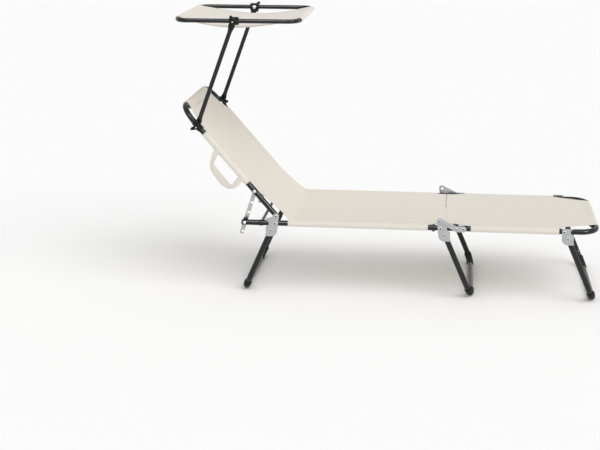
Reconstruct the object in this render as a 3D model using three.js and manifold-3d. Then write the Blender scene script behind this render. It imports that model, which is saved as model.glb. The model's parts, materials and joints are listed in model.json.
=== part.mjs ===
// A folding three-leg sun lounger with a tilting canopy, in millimetres, +Z up.
// X runs from the head to the foot, Y runs across, and the near side is at -Y.
// The lounger stands as in use: backrest raised to its third notch, canopy level.
// The far side of every pair is modelled, and the near side is its mirror image.

import * as THREE from 'three';
import { mergeVertices } from 'three/addons/utils/BufferGeometryUtils.js';
import Module from 'manifold-3d';

const wasm = await Module();
wasm.setup();

// General sizes
const clearance = 0.3; // between pieces that touch
const overrun = 5; // a cutting tool runs this far past what it cuts
const tubeSides = 14;
const pinSides = 10;
const bendSteps = 5;

// Frame: painted steel tube
const frameWidth = 545; // between the centre lines of the side tubes
const tubeRadius = 11;
const seatHeight = 292.5; // floor to the centre line of the seat tubes
const seatLength = 665; // rear plate rivet to front plate rivet
const tailLength = 138; // seat tube behind the rear plate rivet
const noseLength = 16; // seat tube past the front plate rivet
const backLength = 572.5; // recline pivot to the head bar
const footLength = 599; // seat tube end to the foot bar
const bendRadius = 72; // of the head and foot corners
const heelLength = 9; // back tube below its pivot

// Crossbars between the seat tubes
const crossbarRadius = 6;
const rearCrossbarSetback = 57.5; // behind the rear plate rivet
const frontCrossbarSetback = 30; // behind the front plate rivet
const crossbarDrop = 34; // bow of the front bar below the sagging seat
const crossbarShoulder = 34; // straight end of the bowed bar
const crossbarBend = 22;
const collarRadius = 12.6; // weld collar where a crossbar meets the tube
const collarLength = 15;

// Hinge plates: pressed steel, on the outer face of the tubes
const plateThickness = 2.5;
const plateBevel = 0.6;
const pivotRise = 30.5; // recline pivot above the seat tube
const pivotLead = 3.9; // and ahead of the plate's own rivet
const legPivotDrop = 27.8; // leg pivot below the seat tube
const legPivotSetback = 16.4;
const lobeRadius = 12.5; // plate round the recline pivot
const skirtRadius = 25; // plate round the leg pivot
const plateFlank = 21.4; // leg pivot to the plate's straight flank
const tabRise = 10; // tab above the notch for the seat tube
const notchPlay = 1.5; // notch outside the seat tube
const stopDepth = 15; // how far the leg stop is folded in
const stopStart = 17; // leg stop below the leg pivot
const stopLength = 14;

// Rivets and bolts
const rivetRadius = 4;
const rivetHead = 6.2;
const rivetCrown = 2.4;
const boltRadius = 3.4;
const boltHead = 7.5;
const boltCrown = 3.6;
const boltTip = 1.6; // bolt end standing out of the knob

// Legs: three U-shaped frames
const legLean = 23.7; // degrees from upright
const legBend = 66;
const legTop_share = 0.75; // of the tube's radius, from the leg's rivet to its end
const capWall = 3.2; // rubber foot round the tube
const capStraight = 22; // rubber foot along the floor bar
const capArc_share = 0.62; // part of the bend that the rubber foot covers
const capSides = 10;
const soleCut = 1; // flat moulded under the rubber foot
const endLegSetback = 130; // third leg's bracket from the foot bar

// Foot section hinge: an ear outside the front plate
const earThickness = 2.5;
const earReach = 74; // seat tube end to the far end of the ear
const earRivets = 28; // between its two rivets
const earHeight = 12; // half height along the foot tube

// Ratchet: notched bars that hang from the back tubes beside fixed pins
const pinSetback = 125; // pin behind the rear plate rivet
const notchCount = 4;
const usedNotchCount = 3; // notches from the bar's pivot to the one in use
const firstNotch = 53; // bar pivot to the first notch
const notchPitch = 42;
const notchHeight = 10;
const barWidth = 16.5;
const barThickness = 3;
const barSpine = 4.6; // metal left behind a notch
const barLip = 3; // hooked lip at the mouth of a notch
const lipRise = 1.7;
const barEnd = 12; // bar below the last notch
const guideLength = 16.3;
const guideHeight = 7.2; // block on top of the seat tube
const guideWidth = 15;

// Canopy arms and their clamps
const armRadius = 8.5;
const armLength = 445;
const armLean = 19.9; // degrees from upright
const armFlat = 6; // thickness of the pressed ends
const armEye = 12; // half width of the pressed ends
const armPress = 20; // length pressed flat, past the bolt
const armTaper = 26; // from flat to round
const clampSetback = 93.5; // clamp bolt from the head bar, along the back tube
const clampLength = 42;
const clampWall = 3;
const clampRibs = 5;
const ribDepth = 1.4;
const hingeBlockLength = 34;
const hingeWall = 5.5; // between the canopy tube and the arm

// Knobs with three wings
const knobHub = 10.5;
const knobTip = 27;
const knobHeight = 13;
const knobWing = 8.5; // thickness of the wings
const knobFoot = 5.5; // collar that holds the wings clear of the arm
const knobPower = 2.6; // how slender the wings are
const knobBevel = 1;
const nearClampTurn = 21; // degrees that a knob is screwed on past the first
const farHingeTurn = 10;
const nearHingeTurn = 39;

// Canopy
const canopyLength = 480.5; // between the centre lines of its end bars
const canopyRadius = 8.5;
const canopyBend = 46;
const canopyShift = 9; // hinge toward the head, from the middle
const canopySag = 32; // cloth below the top of its bars
const canopyInset = 8; // cloth inside the side tubes
const canopyCorner = 62; // cloth cut back at the corners

// Cloth
const cloth = 1.5; // thickness
const seatSag = 15;
const sleeveStart = 180; // recline pivot to the lower end of the back sleeves
const cornerLength = 130.5; // upper end of the back sleeves to the head bar
const seatSleeveStart = 41; // rear plate rivet to the seat sleeves
const hingeNotch = 59; // depth of the cut-out beside the recline hinge
const frontNotchLength = 48; // sleeve end to the front fold
const frontNotch = 26;
const barSleeveShort = 5; // sleeve of an end bar stops before the bend
const slit = 0.8; // between the cloth of two sections
const bracketMargin = 16; // foot sleeves stop before the end leg's bracket

// Carry handle: webbing at the near side of the back
const webbing = 27;
const webbingThickness = 2;
const handleTop = 353; // upper end, from the recline pivot
const handleBottom = 208;
const handleDrop = 66; // how far the loop stands off the tube
const handleSlant = 31; // its upper leg runs down the back by this much
const handleBend = 17;

// Derived places and levels
const sideY = frameWidth / 2;
const tubeFace = sideY + tubeRadius;
const innerFace = sideY - tubeRadius;
const plateInner = tubeFace + clearance;
const plateOuter = plateInner + plateThickness;
const sleeveInner = tubeRadius + clearance;
const clothLevel = sleeveInner + cloth / 2; // cloth's middle above a tube's centre line
const clampPlace = backLength - clampSetback; // from the recline pivot, along the back tube
const sleeveEnd = backLength - cornerLength;
const capRadius = tubeRadius + clearance + capWall;
const floorBar = capRadius - soleCut; // centre line of the floor bars above the floor
const clampFace = tubeFace + clearance + clampWall;
const armInner = clampFace + clearance;
const armY = armInner + armFlat / 2;
const armOuter = armInner + armFlat;
const canopyY = armInner - 2 * clearance - hingeWall - canopyRadius;
const lean = THREE.MathUtils.degToRad(legLean);
const armTilt = THREE.MathUtils.degToRad(armLean);

const point = (x, z) => new THREE.Vector2(x, z);
const reclinePivot = point(pivotLead, seatHeight + pivotRise);
const pinPlace = point(-pinSetback, seatHeight);
const footPivot = point(seatLength - pivotLead, seatHeight + pivotRise);
const rearLegPivot = point(-legPivotSetback, seatHeight - legPivotDrop);
const frontLegPivot = point(seatLength + legPivotSetback, seatHeight - legPivotDrop);
const foldX = seatLength + noseLength; // where seat and foot section butt
const footBarX = foldX + footLength;
const endBracketX = footBarX - endLegSetback;
const endLegPivot = point(endBracketX + legPivotSetback, seatHeight - legPivotDrop);

// The bar's pivot lies as far from the recline pivot as the pin does, so that the bar
// slides along its own length past the pin while it turns half as far as the backrest.
const ratchetReach = reclinePivot.distanceTo(pinPlace);
const engaged = firstNotch + (usedNotchCount - 1) * notchPitch;
const pinAngle = Math.atan2(reclinePivot.y - pinPlace.y, reclinePivot.x - pinPlace.x);
const recline = 2 * Math.asin(engaged / (2 * ratchetReach)) - pinAngle;

const backPoint = (along, out) =>
  point(
    reclinePivot.x - along * Math.cos(recline) + out * Math.sin(recline),
    reclinePivot.y + along * Math.sin(recline) + out * Math.cos(recline),
  );
const barPivot = backPoint(ratchetReach, 0);
const barTilt = Math.atan2(barPivot.x - pinPlace.x, barPivot.y - pinPlace.y);
const clampPivot = backPoint(clampPlace, 0);
const canopyPivot = point(
  clampPivot.x + armLength * Math.sin(armTilt),
  clampPivot.y + armLength * Math.cos(armTilt),
);

// Materials
const paint = (color, roughness, metalness) => () =>
  new THREE.MeshStandardMaterial({ color, roughness, metalness });
const blackPaint = paint(0x2b2b2b, 0.42, 0.1);
const blackPlastic = paint(0x1a1a1a, 0.55, 0);
const rubber = paint(0x202020, 0.8, 0);
const galvanised = paint(0xb9bbbb, 0.38, 0.85);
const zinc = paint(0xa5a5a5, 0.42, 0.9);
const brightSteel = paint(0xd4d4d2, 0.25, 1);
const creamCloth = paint(0xe0d8ce, 0.92, 0);
const canopyCloth = paint(0xe5e0d8, 0.92, 0);

// Closed meshes and booleans

function signedVolume(geometry) {
  const { array } = geometry.attributes.position;
  const index = geometry.index.array;
  let sum = 0;
  for (let i = 0; i < index.length; i += 3) {
    const [a, b, c] = [0, 1, 2].map((k) =>
      new THREE.Vector3().fromArray(array, 3 * index[i + k]));
    sum += a.dot(b.cross(c));
  }
  return sum;
}

// One closed mesh whose vertices are shared and whose faces point out.
function closed(source) {
  const bare = new THREE.BufferGeometry();
  bare.setAttribute('position', source.attributes.position.clone());
  if (source.index) bare.setIndex(source.index.clone());
  const geometry = mergeVertices(bare, 1e-4);
  if (signedVolume(geometry) < 0) geometry.index.array.reverse();
  return geometry;
}

function toManifold(source) {
  const geometry = closed(source);
  return new wasm.Manifold(new wasm.Mesh({
    numProp: 3,
    vertProperties: new Float32Array(geometry.attributes.position.array),
    triVerts: new Uint32Array(geometry.index.array),
  }));
}

function fromManifold(manifold) {
  const mesh = manifold.getMesh();
  const geometry = new THREE.BufferGeometry();
  geometry.setAttribute('position', new THREE.BufferAttribute(mesh.vertProperties, 3));
  geometry.setIndex(new THREE.BufferAttribute(mesh.triVerts, 1));
  return geometry;
}

const join = (first, ...rest) =>
  fromManifold(rest.reduce((sum, next) => sum.add(toManifold(next)), toManifold(first)));

const cut = (first, ...tools) =>
  fromManifold(tools.reduce((sum, tool) => sum.subtract(toManifold(tool)), toManifold(first)));

// The mirror image across the middle plane of the lounger.
function mirrored(source) {
  const geometry = closed(source);
  geometry.scale(1, -1, 1);
  geometry.index.array.reverse();
  return geometry;
}

// Rods and sleeves along a path of straight runs and round bends

// A curve that an extrusion follows station by station, so that straight runs stay one step.
class StationCurve extends THREE.Curve {
  constructor(stations) {
    super();
    this.stations = stations;
  }

  get steps() {
    return this.stations.length - 1;
  }

  at(u) {
    return this.stations[Math.round(u * this.steps)];
  }

  getPointAt(u, target = new THREE.Vector3()) {
    return target.copy(this.at(u).place);
  }

  getTangentAt(u, target = new THREE.Vector3()) {
    return target.copy(this.at(u).tangent);
  }
}

// Stations round one bend: centre, radius, the direction before it and the side it turns to.
function bend(corner, before, after, radius, steps) {
  const angle = before.angleTo(after);
  const side = after.clone().addScaledVector(before, -before.dot(after)).normalize();
  const centre = corner.clone()
    .addScaledVector(before, -radius * Math.tan(angle / 2))
    .addScaledVector(side, radius);
  return Array.from({ length: steps + 1 }, (_, i) => {
    const turn = (angle * i) / steps;
    return {
      place: centre.clone()
        .addScaledVector(side, -radius * Math.cos(turn))
        .addScaledVector(before, radius * Math.sin(turn)),
      tangent: before.clone().multiplyScalar(Math.cos(turn)).addScaledVector(side, Math.sin(turn)),
    };
  });
}

function stationsThrough(corners, radius, steps = bendSteps) {
  const toward = (i) => corners[i + 1].clone().sub(corners[i]).normalize();
  const stations = [{ place: corners[0].clone(), tangent: toward(0) }];
  for (let i = 1; i < corners.length - 1; i += 1) {
    const [before, after] = [toward(i - 1), toward(i)];
    if (before.angleTo(after) < 1e-4) stations.push({ place: corners[i].clone(), tangent: after });
    else stations.push(...bend(corners[i], before, after, radius, steps));
  }
  const last = corners.length - 1;
  stations.push({ place: corners[last].clone(), tangent: toward(last - 1) });
  return stations;
}

const ringPoints = (radius, sides) =>
  Array.from({ length: sides }, (_, i) => {
    const angle = (2 * Math.PI * (i + 0.5)) / sides;
    return new THREE.Vector2(radius * Math.cos(angle), radius * Math.sin(angle));
  });

function sweep(stations, radius, { sides = tubeSides, bore = 0 } = {}) {
  const section = new THREE.Shape(ringPoints(radius, sides));
  if (bore) section.holes.push(new THREE.Path(ringPoints(bore / Math.cos(Math.PI / sides), sides)));
  const path = new StationCurve(stations);
  return new THREE.ExtrudeGeometry(section, { steps: path.steps, extrudePath: path });
}

const rod = (corners, radius, bendSize = 0, options = {}) =>
  sweep(stationsThrough(corners, bendSize, options.steps), radius, options);

// A sleeve with an open bore along a straight line.
const sleeve = (from, to, bore, wall, sides = tubeSides) =>
  sweep(stationsThrough([from, to], 0), bore + wall, { sides, bore });

const at = (x, y, z) => new THREE.Vector3(x, y, z);

// Presses the end of a straight rod flat across Y, as a press does: thin and wide at the
// end, and back to round over the taper. The rod starts at place and runs along direction.
function pressFlat(geometry, place, direction, radius) {
  const { position } = geometry.attributes;
  const across = new THREE.Vector3().crossVectors(direction, at(0, 1, 0)).normalize();
  const vertex = new THREE.Vector3();
  for (let i = 0; i < position.count; i += 1) {
    vertex.fromBufferAttribute(position, i).sub(place);
    const along = vertex.dot(direction);
    const flat = 1 - THREE.MathUtils.smoothstep(along, armPress, armPress + armTaper);
    const [thin, wide] = [armFlat / (2 * radius), armEye / radius];
    const x = vertex.dot(across) * THREE.MathUtils.lerp(1, wide, flat);
    const y = vertex.y * THREE.MathUtils.lerp(1, thin, flat);
    vertex.copy(place).addScaledVector(direction, along).addScaledVector(across, x);
    position.setXYZ(i, vertex.x, place.y + y, vertex.z);
  }
  return geometry;
}

// Solids that run across the lounger

const crosswise = (x, z, from, to, radius, sides = pinSides) =>
  new THREE.CylinderGeometry(radius, radius, to - from, sides).translate(x, (from + to) / 2, z);

const hole = (x, z, from, to, radius) =>
  crosswise(x, z, from - overrun, to + overrun, radius + clearance);

// A turned pin along Y from its flat or domed inner end to its domed outer end.
function turned(x, z, profile, sides = pinSides) {
  const points = profile.map(([radius, y]) => new THREE.Vector2(radius, y));
  return new THREE.LatheGeometry(points, sides).translate(x, 0, z);
}

const dome_shares = [[1, 0], [0.8, 0.68], [0, 1]];
const domeOut = (radius, from, crown) =>
  dome_shares.map(([across, up]) => [radius * across, from + crown * up]);
const domeIn = (radius, from, crown) =>
  dome_shares.map(([across, up]) => [radius * across, from - crown * up]).reverse();

const rivet = (x, z, inner, outer) =>
  turned(x, z, [
    ...domeIn(rivetHead, inner, rivetCrown), [rivetRadius, inner],
    [rivetRadius, outer], ...domeOut(rivetHead, outer, rivetCrown),
  ]);

// A profile in X and Z, drawn between two levels across the lounger.
function plate(shape, inner, outer, bevel = 0) {
  const geometry = new THREE.ExtrudeGeometry(shape, {
    depth: outer - inner - 2 * bevel,
    bevelEnabled: bevel > 0,
    bevelThickness: bevel,
    bevelSize: bevel,
    bevelOffset: -bevel,
    bevelSegments: 1,
    curveSegments: 6,
  });
  return geometry.rotateX(Math.PI / 2).translate(0, outer - bevel, 0);
}

// A profile in Y and Z, drawn along X from the middle of its length.
function bar(shape, length) {
  const geometry = new THREE.ExtrudeGeometry(shape, {
    depth: length, bevelEnabled: false, curveSegments: 8,
  });
  const turn = new THREE.Matrix4().makeBasis(at(0, 1, 0), at(0, 0, 1), at(1, 0, 0));
  return geometry.translate(0, 0, -length / 2).applyMatrix4(turn);
}

// Frame tubes

function seatTube() {
  const tube = rod([at(-tailLength, sideY, seatHeight), at(foldX - clearance, sideY, seatHeight)],
    tubeRadius);
  return cut(tube, ...[pinPlace.x, 0, seatLength].map((x) =>
    hole(x, seatHeight, innerFace, tubeFace, rivetRadius)));
}

// A U-shaped frame: two side tubes from x = start, joined by a bar at x = end.
function uFrame(start, end, z, radius, bendSize, side) {
  return rod([at(start, -side, z), at(end, -side, z), at(end, side, z), at(start, side, z)],
    radius, bendSize);
}

// The backrest is drawn lying flat behind its pivot, which is its origin.
function backFrame() {
  const frame = uFrame(heelLength, -backLength, 0, tubeRadius, bendRadius, sideY);
  const bolt = (side) => hole(-clampPlace, 0, side - tubeRadius, side + tubeRadius, boltRadius);
  const eye = (x, side) => hole(x, 0, side - tubeRadius, side + tubeRadius, rivetRadius);
  const sides = [-sideY, sideY];
  return cut(frame, ...sides.flatMap((side) => [bolt(side), eye(0, side), eye(-ratchetReach, side)]));
}

function straightCrossbar() {
  const end = sideY - collarRadius - clearance;
  const x = -rearCrossbarSetback;
  return rod([at(x, -end, seatHeight), at(x, end, seatHeight)], crossbarRadius);
}

function bowedCrossbar() {
  const end = innerFace - clearance;
  const x = seatLength - frontCrossbarSetback;
  const low = seatHeight - crossbarDrop;
  const knee = end - crossbarShoulder;
  const inner = knee - crossbarShoulder;
  return rod([
    at(x, -end, seatHeight), at(x, -knee, seatHeight), at(x, -inner, low),
    at(x, inner, low), at(x, knee, seatHeight), at(x, end, seatHeight),
  ], crossbarRadius, crossbarBend, { steps: 2, sides: pinSides });
}

// The collar where a crossbar is welded on: a ring round the seat tube.
function weldCollar(x) {
  const start = at(x - collarLength / 2, sideY, seatHeight);
  return sleeve(start, start.clone().setX(x + collarLength / 2), tubeRadius + clearance,
    collarRadius - tubeRadius - clearance);
}

// Hinge plates, from the rivet in the seat tube, with the leg on the -X side

const plateTop = point(pivotLead, pivotRise);
const plateLeg = point(-legPivotSetback, -legPivotDrop);

function plateOutline(withLobe) {
  const flankX = plateLeg.x - plateFlank;
  const notchRadius = tubeRadius + notchPlay;
  const rightX = plateLeg.x + skirtRadius;
  const shape = new THREE.Shape();
  shape.moveTo(flankX, -notchRadius);
  shape.absarc(flankX, 0, notchRadius, -Math.PI / 2, Math.PI / 2, false);
  if (withLobe) {
    shape.lineTo(flankX + notchPlay, notchRadius + tabRise);
    shape.quadraticCurveTo(plateTop.x - 2 * lobeRadius, plateTop.y - lobeRadius / 2,
      plateTop.x - lobeRadius, plateTop.y);
    shape.absarc(plateTop.x, plateTop.y, lobeRadius, Math.PI, 0, true);
  } else {
    shape.lineTo(flankX, notchRadius + notchPlay);
    shape.lineTo(rightX, notchRadius + notchPlay);
  }
  shape.lineTo(rightX, plateLeg.y);
  shape.absarc(plateLeg.x, plateLeg.y, skirtRadius, 0, -Math.PI / 2, true);
  shape.lineTo(flankX, plateLeg.y - skirtRadius);
  shape.closePath();
  return shape;
}

// The edge folded in behind the leg, which stops it as it swings open.
function legStop() {
  const along = point(-Math.sin(lean), -Math.cos(lean));
  const off = point(-Math.cos(lean), Math.sin(lean));
  const corner = (down, away) => plateLeg.clone().addScaledVector(along, down)
    .addScaledVector(off, tubeRadius + clearance + away);
  const end = stopStart + stopLength;
  const shape = new THREE.Shape([
    corner(stopStart, 0), corner(end, 0), corner(end, plateThickness),
    corner(stopStart, plateThickness),
  ]);
  return plate(shape, plateInner - stopDepth, plateOuter);
}

// One plate with its rivets. The far rear one faces as drawn, and the front ones are turned.
function hingePlate(withLobe) {
  const inner = innerFace - clearance;
  const rivets = [rivet(0, 0, inner, plateOuter), rivet(plateLeg.x, plateLeg.y, inner, plateOuter)];
  if (withLobe) rivets.push(rivet(plateTop.x, plateTop.y, inner, plateOuter));
  return join(plate(plateOutline(withLobe), plateInner, plateOuter, plateBevel), legStop(),
    ...rivets);
}

// Turns a solid drawn for the rear hinge to face the foot end.
function faceFoot(source) {
  const geometry = closed(source);
  geometry.scale(-1, 1, 1);
  geometry.index.array.reverse();
  return geometry;
}

// The front plate's top rivet also carries the ear of the foot section.
function frontPlate() {
  const earOuter = plateOuter + clearance + earThickness;
  const pivot = rivet(plateTop.x, plateTop.y, innerFace - clearance, earOuter + clearance);
  const base = join(hingePlate(false), plate(plateOutline(true), plateInner, plateOuter, plateBevel));
  return faceFoot(join(base, pivot));
}

// The ear, drawn from the foot section's pivot, with two rivets into the foot tube.
function footEar() {
  const inner = plateOuter + clearance;
  const outer = inner + earThickness;
  const [near, far] = [foldX - footPivot.x + earReach - earRivets, foldX - footPivot.x + earReach];
  const shape = new THREE.Shape();
  shape.absarc(0, 0, lobeRadius, Math.PI, Math.PI / 4, true);
  shape.lineTo(near, -pivotRise + earHeight);
  shape.lineTo(far, -pivotRise + earHeight);
  shape.absarc(far, -pivotRise, earHeight, Math.PI / 2, -Math.PI / 2, true);
  shape.lineTo(near, -pivotRise - earHeight);
  shape.closePath();
  const boss = (x) => crosswise(x, -pivotRise, plateInner, inner + clearance, rivetHead, tubeSides);
  const fixed = (x) => rivet(x, -pivotRise, innerFace - clearance, outer);
  const ear = join(plate(shape, inner, outer), boss(near), boss(far), fixed(near), fixed(far));
  return cut(ear, hole(0, 0, inner, outer, rivetRadius));
}

function footFrame() {
  const start = foldX - footPivot.x + clearance;
  const frame = uFrame(start, footBarX - footPivot.x, -pivotRise, tubeRadius, bendRadius, sideY);
  const far = foldX - footPivot.x + earReach;
  const places = [far - earRivets, far, endBracketX - footPivot.x];
  return cut(frame, ...[-sideY, sideY].flatMap((side) => places.map((x) =>
    hole(x, -pivotRise, side - tubeRadius, side + tubeRadius, rivetRadius))));
}

// Legs, drawn from their pivot; toward is -1 for a leg that leans to the head, else 1

function legCorners(toward) {
  const drop = rearLegPivot.y - floorBar;
  const foot = toward * drop * Math.tan(lean);
  const back = tubeRadius * legTop_share;
  const start = [-toward * back * Math.sin(lean), back * Math.cos(lean)];
  return [
    at(start[0], -sideY, start[1]), at(foot, -sideY, -drop),
    at(foot, sideY, -drop), at(start[0], sideY, start[1]),
  ];
}

function legFrame(toward) {
  const frame = rod(legCorners(toward), tubeRadius, legBend);
  return cut(frame, ...[-sideY, sideY].map((side) =>
    hole(0, 0, side - tubeRadius, side + tubeRadius, rivetRadius)));
}

// The rubber foot follows the last part of the bend and the start of the floor bar.
function legCap(toward) {
  const [, low, far, top] = legCorners(toward);
  const up = top.clone().sub(far).normalize();
  const across = far.clone().sub(low).normalize();
  const arc = bend(far, across, up, legBend, bendSteps);
  const start = arc[0].place.clone().addScaledVector(across, -capStraight);
  const turns = Math.round(bendSteps * capArc_share);
  const cap = sweep([{ place: start, tangent: across }, ...arc.slice(0, turns + 1)],
    capRadius, { sides: capSides, bore: tubeRadius + clearance });
  const size = 4 * capRadius + capStraight + legBend;
  const floor = new THREE.BoxGeometry(size, size, capRadius)
    .translate(far.x, far.y, -rearLegPivot.y - capRadius / 2);
  return cut(cap, floor);
}

// Ratchet

// The notched bar hangs down from its pivot, with its notches open toward +X.
function ratchetBar() {
  const half = barWidth / 2;
  const shape = new THREE.Shape();
  shape.absarc(0, 0, half, Math.PI, 0, true);
  for (let i = 0; i < notchCount; i += 1) {
    const z = -(firstNotch + i * notchPitch);
    const [top, bottom] = [z + notchHeight / 2, z - notchHeight / 2];
    shape.lineTo(half, top);
    shape.lineTo(barSpine - half + notchHeight / 2, top);
    shape.absarc(barSpine - half + notchHeight / 2, z, notchHeight / 2, Math.PI / 2,
      (3 * Math.PI) / 2, false);
    shape.lineTo(half - barLip, bottom);
    shape.lineTo(half - barLip / 2, bottom + lipRise);
    shape.lineTo(half, bottom + lipRise);
  }
  const end = -(firstNotch + (notchCount - 1) * notchPitch + barEnd);
  shape.lineTo(half, end);
  shape.lineTo(-half, end);
  shape.closePath();
  const outer = innerFace - clearance;
  const body = plate(shape, outer - barThickness, outer);
  return cut(body, hole(0, 0, outer - barThickness, outer, rivetRadius));
}

// The fixed pin, bright-headed, stops at the tube's inner face, short of the bar.
function ratchetPin() {
  return turned(pinPlace.x, pinPlace.y, [
    [0, innerFace], [rivetRadius, innerFace],
    [rivetRadius, tubeFace + clearance], ...domeOut(rivetHead, tubeFace + clearance, rivetCrown),
  ]);
}

// The rivet that carries a ratchet bar, seen from the backrest's pivot.
function barRivet() {
  const inner = innerFace - 2 * clearance - barThickness;
  return rivet(-ratchetReach, 0, inner, tubeFace + clearance);
}

// A block moulded to the top of the seat tube beside the bar's path.
function ratchetGuide() {
  const half = guideWidth / 2;
  const grip = tubeRadius + clearance;
  const reach = Math.asin(half / grip);
  const shape = new THREE.Shape();
  shape.absarc(0, 0, grip, Math.PI / 2 - reach, Math.PI / 2 + reach, false);
  shape.lineTo(-half, tubeRadius + guideHeight - ribDepth);
  shape.lineTo(ribDepth - half, tubeRadius + guideHeight);
  shape.lineTo(half - ribDepth, tubeRadius + guideHeight);
  shape.lineTo(half, tubeRadius + guideHeight - ribDepth);
  shape.closePath();
  const x = pinPlace.x + (guideHeight + tubeRadius) * Math.tan(barTilt) / 2;
  return bar(shape, guideLength).translate(x, sideY, seatHeight);
}

// Canopy arms, clamps and knobs

// An arm, drawn upright from its clamp bolt, pressed flat at both bolts.
function canopyArm() {
  const ends = [at(0, armY, 0), at(0, armY, armLength)];
  const up = at(0, 0, 1);
  const down = at(0, 0, -1);
  const places = [0, armPress, armPress + armTaper / 2, armPress + armTaper];
  const heights = [...places, ...places.map((d) => armLength - d).reverse()];
  const tube = rod(heights.map((z) => at(0, armY, z)), armRadius);
  pressFlat(tube, ends[0], up, armRadius);
  pressFlat(tube, ends[1], down, armRadius);
  const eye = (z) => crosswise(0, z, armInner, armOuter, armEye, tubeSides);
  const bore = (z) => hole(0, z, armInner, armOuter, boltRadius);
  return cut(join(tube, eye(0), eye(armLength)), bore(0), bore(armLength));
}

// A moulded clamp round a tube along X, flat where the arm bears on it, ribbed inside.
function clampBlock(radius, side, length, faceWall, ribs) {
  const wall = radius + clearance + clampWall;
  const face = radius + clearance + faceWall;
  const shape = new THREE.Shape();
  shape.absarc(0, 0, wall, Math.PI / 4, (7 * Math.PI) / 4, false);
  shape.lineTo(face, -wall / 2);
  shape.lineTo(face, wall / 2);
  shape.closePath();
  const body = bar(shape, length);
  const step = length / (ribs + 1);
  const groove = (i) => new THREE.BoxGeometry(step / 2, ribDepth + overrun, 2 * wall + overrun)
    .translate(step * (i + 1) - length / 2, -wall - overrun / 2 + ribDepth / 2, 0);
  const core = rod([at(-length, 0, 0), at(length, 0, 0)], radius + clearance);
  const bore = hole(0, 0, -wall, face, boltRadius);
  const tools = [core, bore, ...Array.from({ length: ribs }, (_, i) => groove(i))];
  return cut(body, ...tools).translate(0, side, 0);
}

// A carriage bolt from its domed head inside the tube to its tip outside the knob.
function clampBolt(head) {
  const tip = armOuter + clearance + knobFoot + knobHeight + boltTip;
  return turned(0, 0, [
    ...domeIn(boltHead, head, boltCrown), [boltRadius, head],
    [boltRadius, tip - boltTip], [boltRadius - boltTip / 2, tip], [0, tip],
  ]);
}

// A knob with three wings by one polar formula, on a collar, with a bore for the bolt.
function knob(turn = 0) {
  const base = armOuter + clearance;
  const steps = 3 * pinSides;
  const outline = Array.from({ length: steps }, (_, i) => {
    const turn = (2 * Math.PI * i) / steps;
    const swell = ((1 + Math.cos(3 * turn)) / 2) ** knobPower;
    const radius = knobHub + (knobTip - knobHub) * swell;
    return new THREE.Vector2(radius * Math.sin(turn), -radius * Math.cos(turn));
  });
  const wings = plate(new THREE.Shape(outline), base + knobFoot, base + knobFoot + knobWing,
    knobBevel);
  const hub = turned(0, 0, [
    [0, base], [knobHub - knobBevel, base], [knobHub, base + knobFoot + knobWing / 2],
    [knobHub, base + knobFoot + knobHeight - knobBevel],
    [knobHub - knobBevel, base + knobFoot + knobHeight], [0, base + knobFoot + knobHeight],
  ], pinSides + 2);
  const bore = hole(0, 0, base, base + knobFoot + knobHeight, boltRadius);
  return cut(join(wings, hub), bore).rotateY(THREE.MathUtils.degToRad(turn));
}

// Canopy, drawn from its hinge

const canopyMiddle = canopyShift;
const canopyEnds = [canopyMiddle - canopyLength / 2, canopyMiddle + canopyLength / 2];

function canopyFrame() {
  const [left, right] = canopyEnds;
  const corners = [
    at(canopyMiddle, -canopyY, 0), at(right, -canopyY, 0), at(right, canopyY, 0),
    at(left, canopyY, 0), at(left, -canopyY, 0), at(canopyMiddle, -canopyY, 0),
  ];
  const stations = stationsThrough(corners, canopyBend, 5);
  const path = new StationCurve(stations);
  const ring = new THREE.TubeGeometry(path, path.steps, canopyRadius, pinSides, true);
  return cut(ring, ...[-canopyY, canopyY].map((side) =>
    hole(0, 0, side - canopyRadius, side + canopyRadius, boltRadius)));
}

// Cloth: a grid of points given a thickness, with sleeves joined on

// place(row, column) gives a point and the cloth's normal there.
function clothSheet(rows, columns, place) {
  const [across, positions, index] = [columns + 1, [], []];
  for (const side of [1, -1]) {
    for (let row = 0; row <= rows; row += 1) {
      for (let column = 0; column <= columns; column += 1) {
        const { spot, normal } = place(row, column / columns);
        positions.push(...spot.clone().addScaledVector(normal, (side * cloth) / 2));
      }
    }
  }
  const below = (rows + 1) * across;
  const quad = (a, b, c, d) => index.push(a, b, c, a, c, d);
  for (let row = 0; row < rows; row += 1) {
    for (let column = 0; column < columns; column += 1) {
      const a = row * across + column;
      quad(a, a + 1, a + across + 1, a + across);
      quad(below + a, below + a + across, below + a + across + 1, below + a + 1);
    }
  }
  for (let column = 0; column < columns; column += 1) {
    const last = rows * across + column;
    quad(column, below + column, below + column + 1, column + 1);
    quad(last + 1, below + last + 1, below + last, last);
  }
  for (let row = 0; row < rows; row += 1) {
    const a = row * across;
    const b = a + columns;
    quad(a + across, below + a + across, below + a, a);
    quad(b, below + b, below + b + across, b + across);
  }
  const geometry = new THREE.BufferGeometry();
  geometry.setAttribute('position', new THREE.Float32BufferAttribute(positions, 3));
  geometry.setIndex(index);
  return geometry;
}

// A panel that is straight across between its edges but for its sag. Each station is
// { spot: Vector2 in X and Z, half: half width, sag }, from one end to the other.
function panel(stations, columns = 8) {
  const normals = stations.map((_, i) => {
    const before = stations[Math.max(i - 1, 0)].spot;
    const after = stations[Math.min(i + 1, stations.length - 1)].spot;
    const run = after.clone().sub(before).normalize();
    return point(-run.y, run.x);
  });
  return clothSheet(stations.length - 1, columns, (row, share) => {
    const { spot, half, sag } = stations[row];
    const side = 2 * share - 1;
    const up = normals[row];
    const drop = -sag * (1 - side * side);
    return {
      spot: at(spot.x + up.x * drop, side * half, spot.y + up.y * drop),
      normal: at(up.x, 0, up.y),
    };
  });
}

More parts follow.
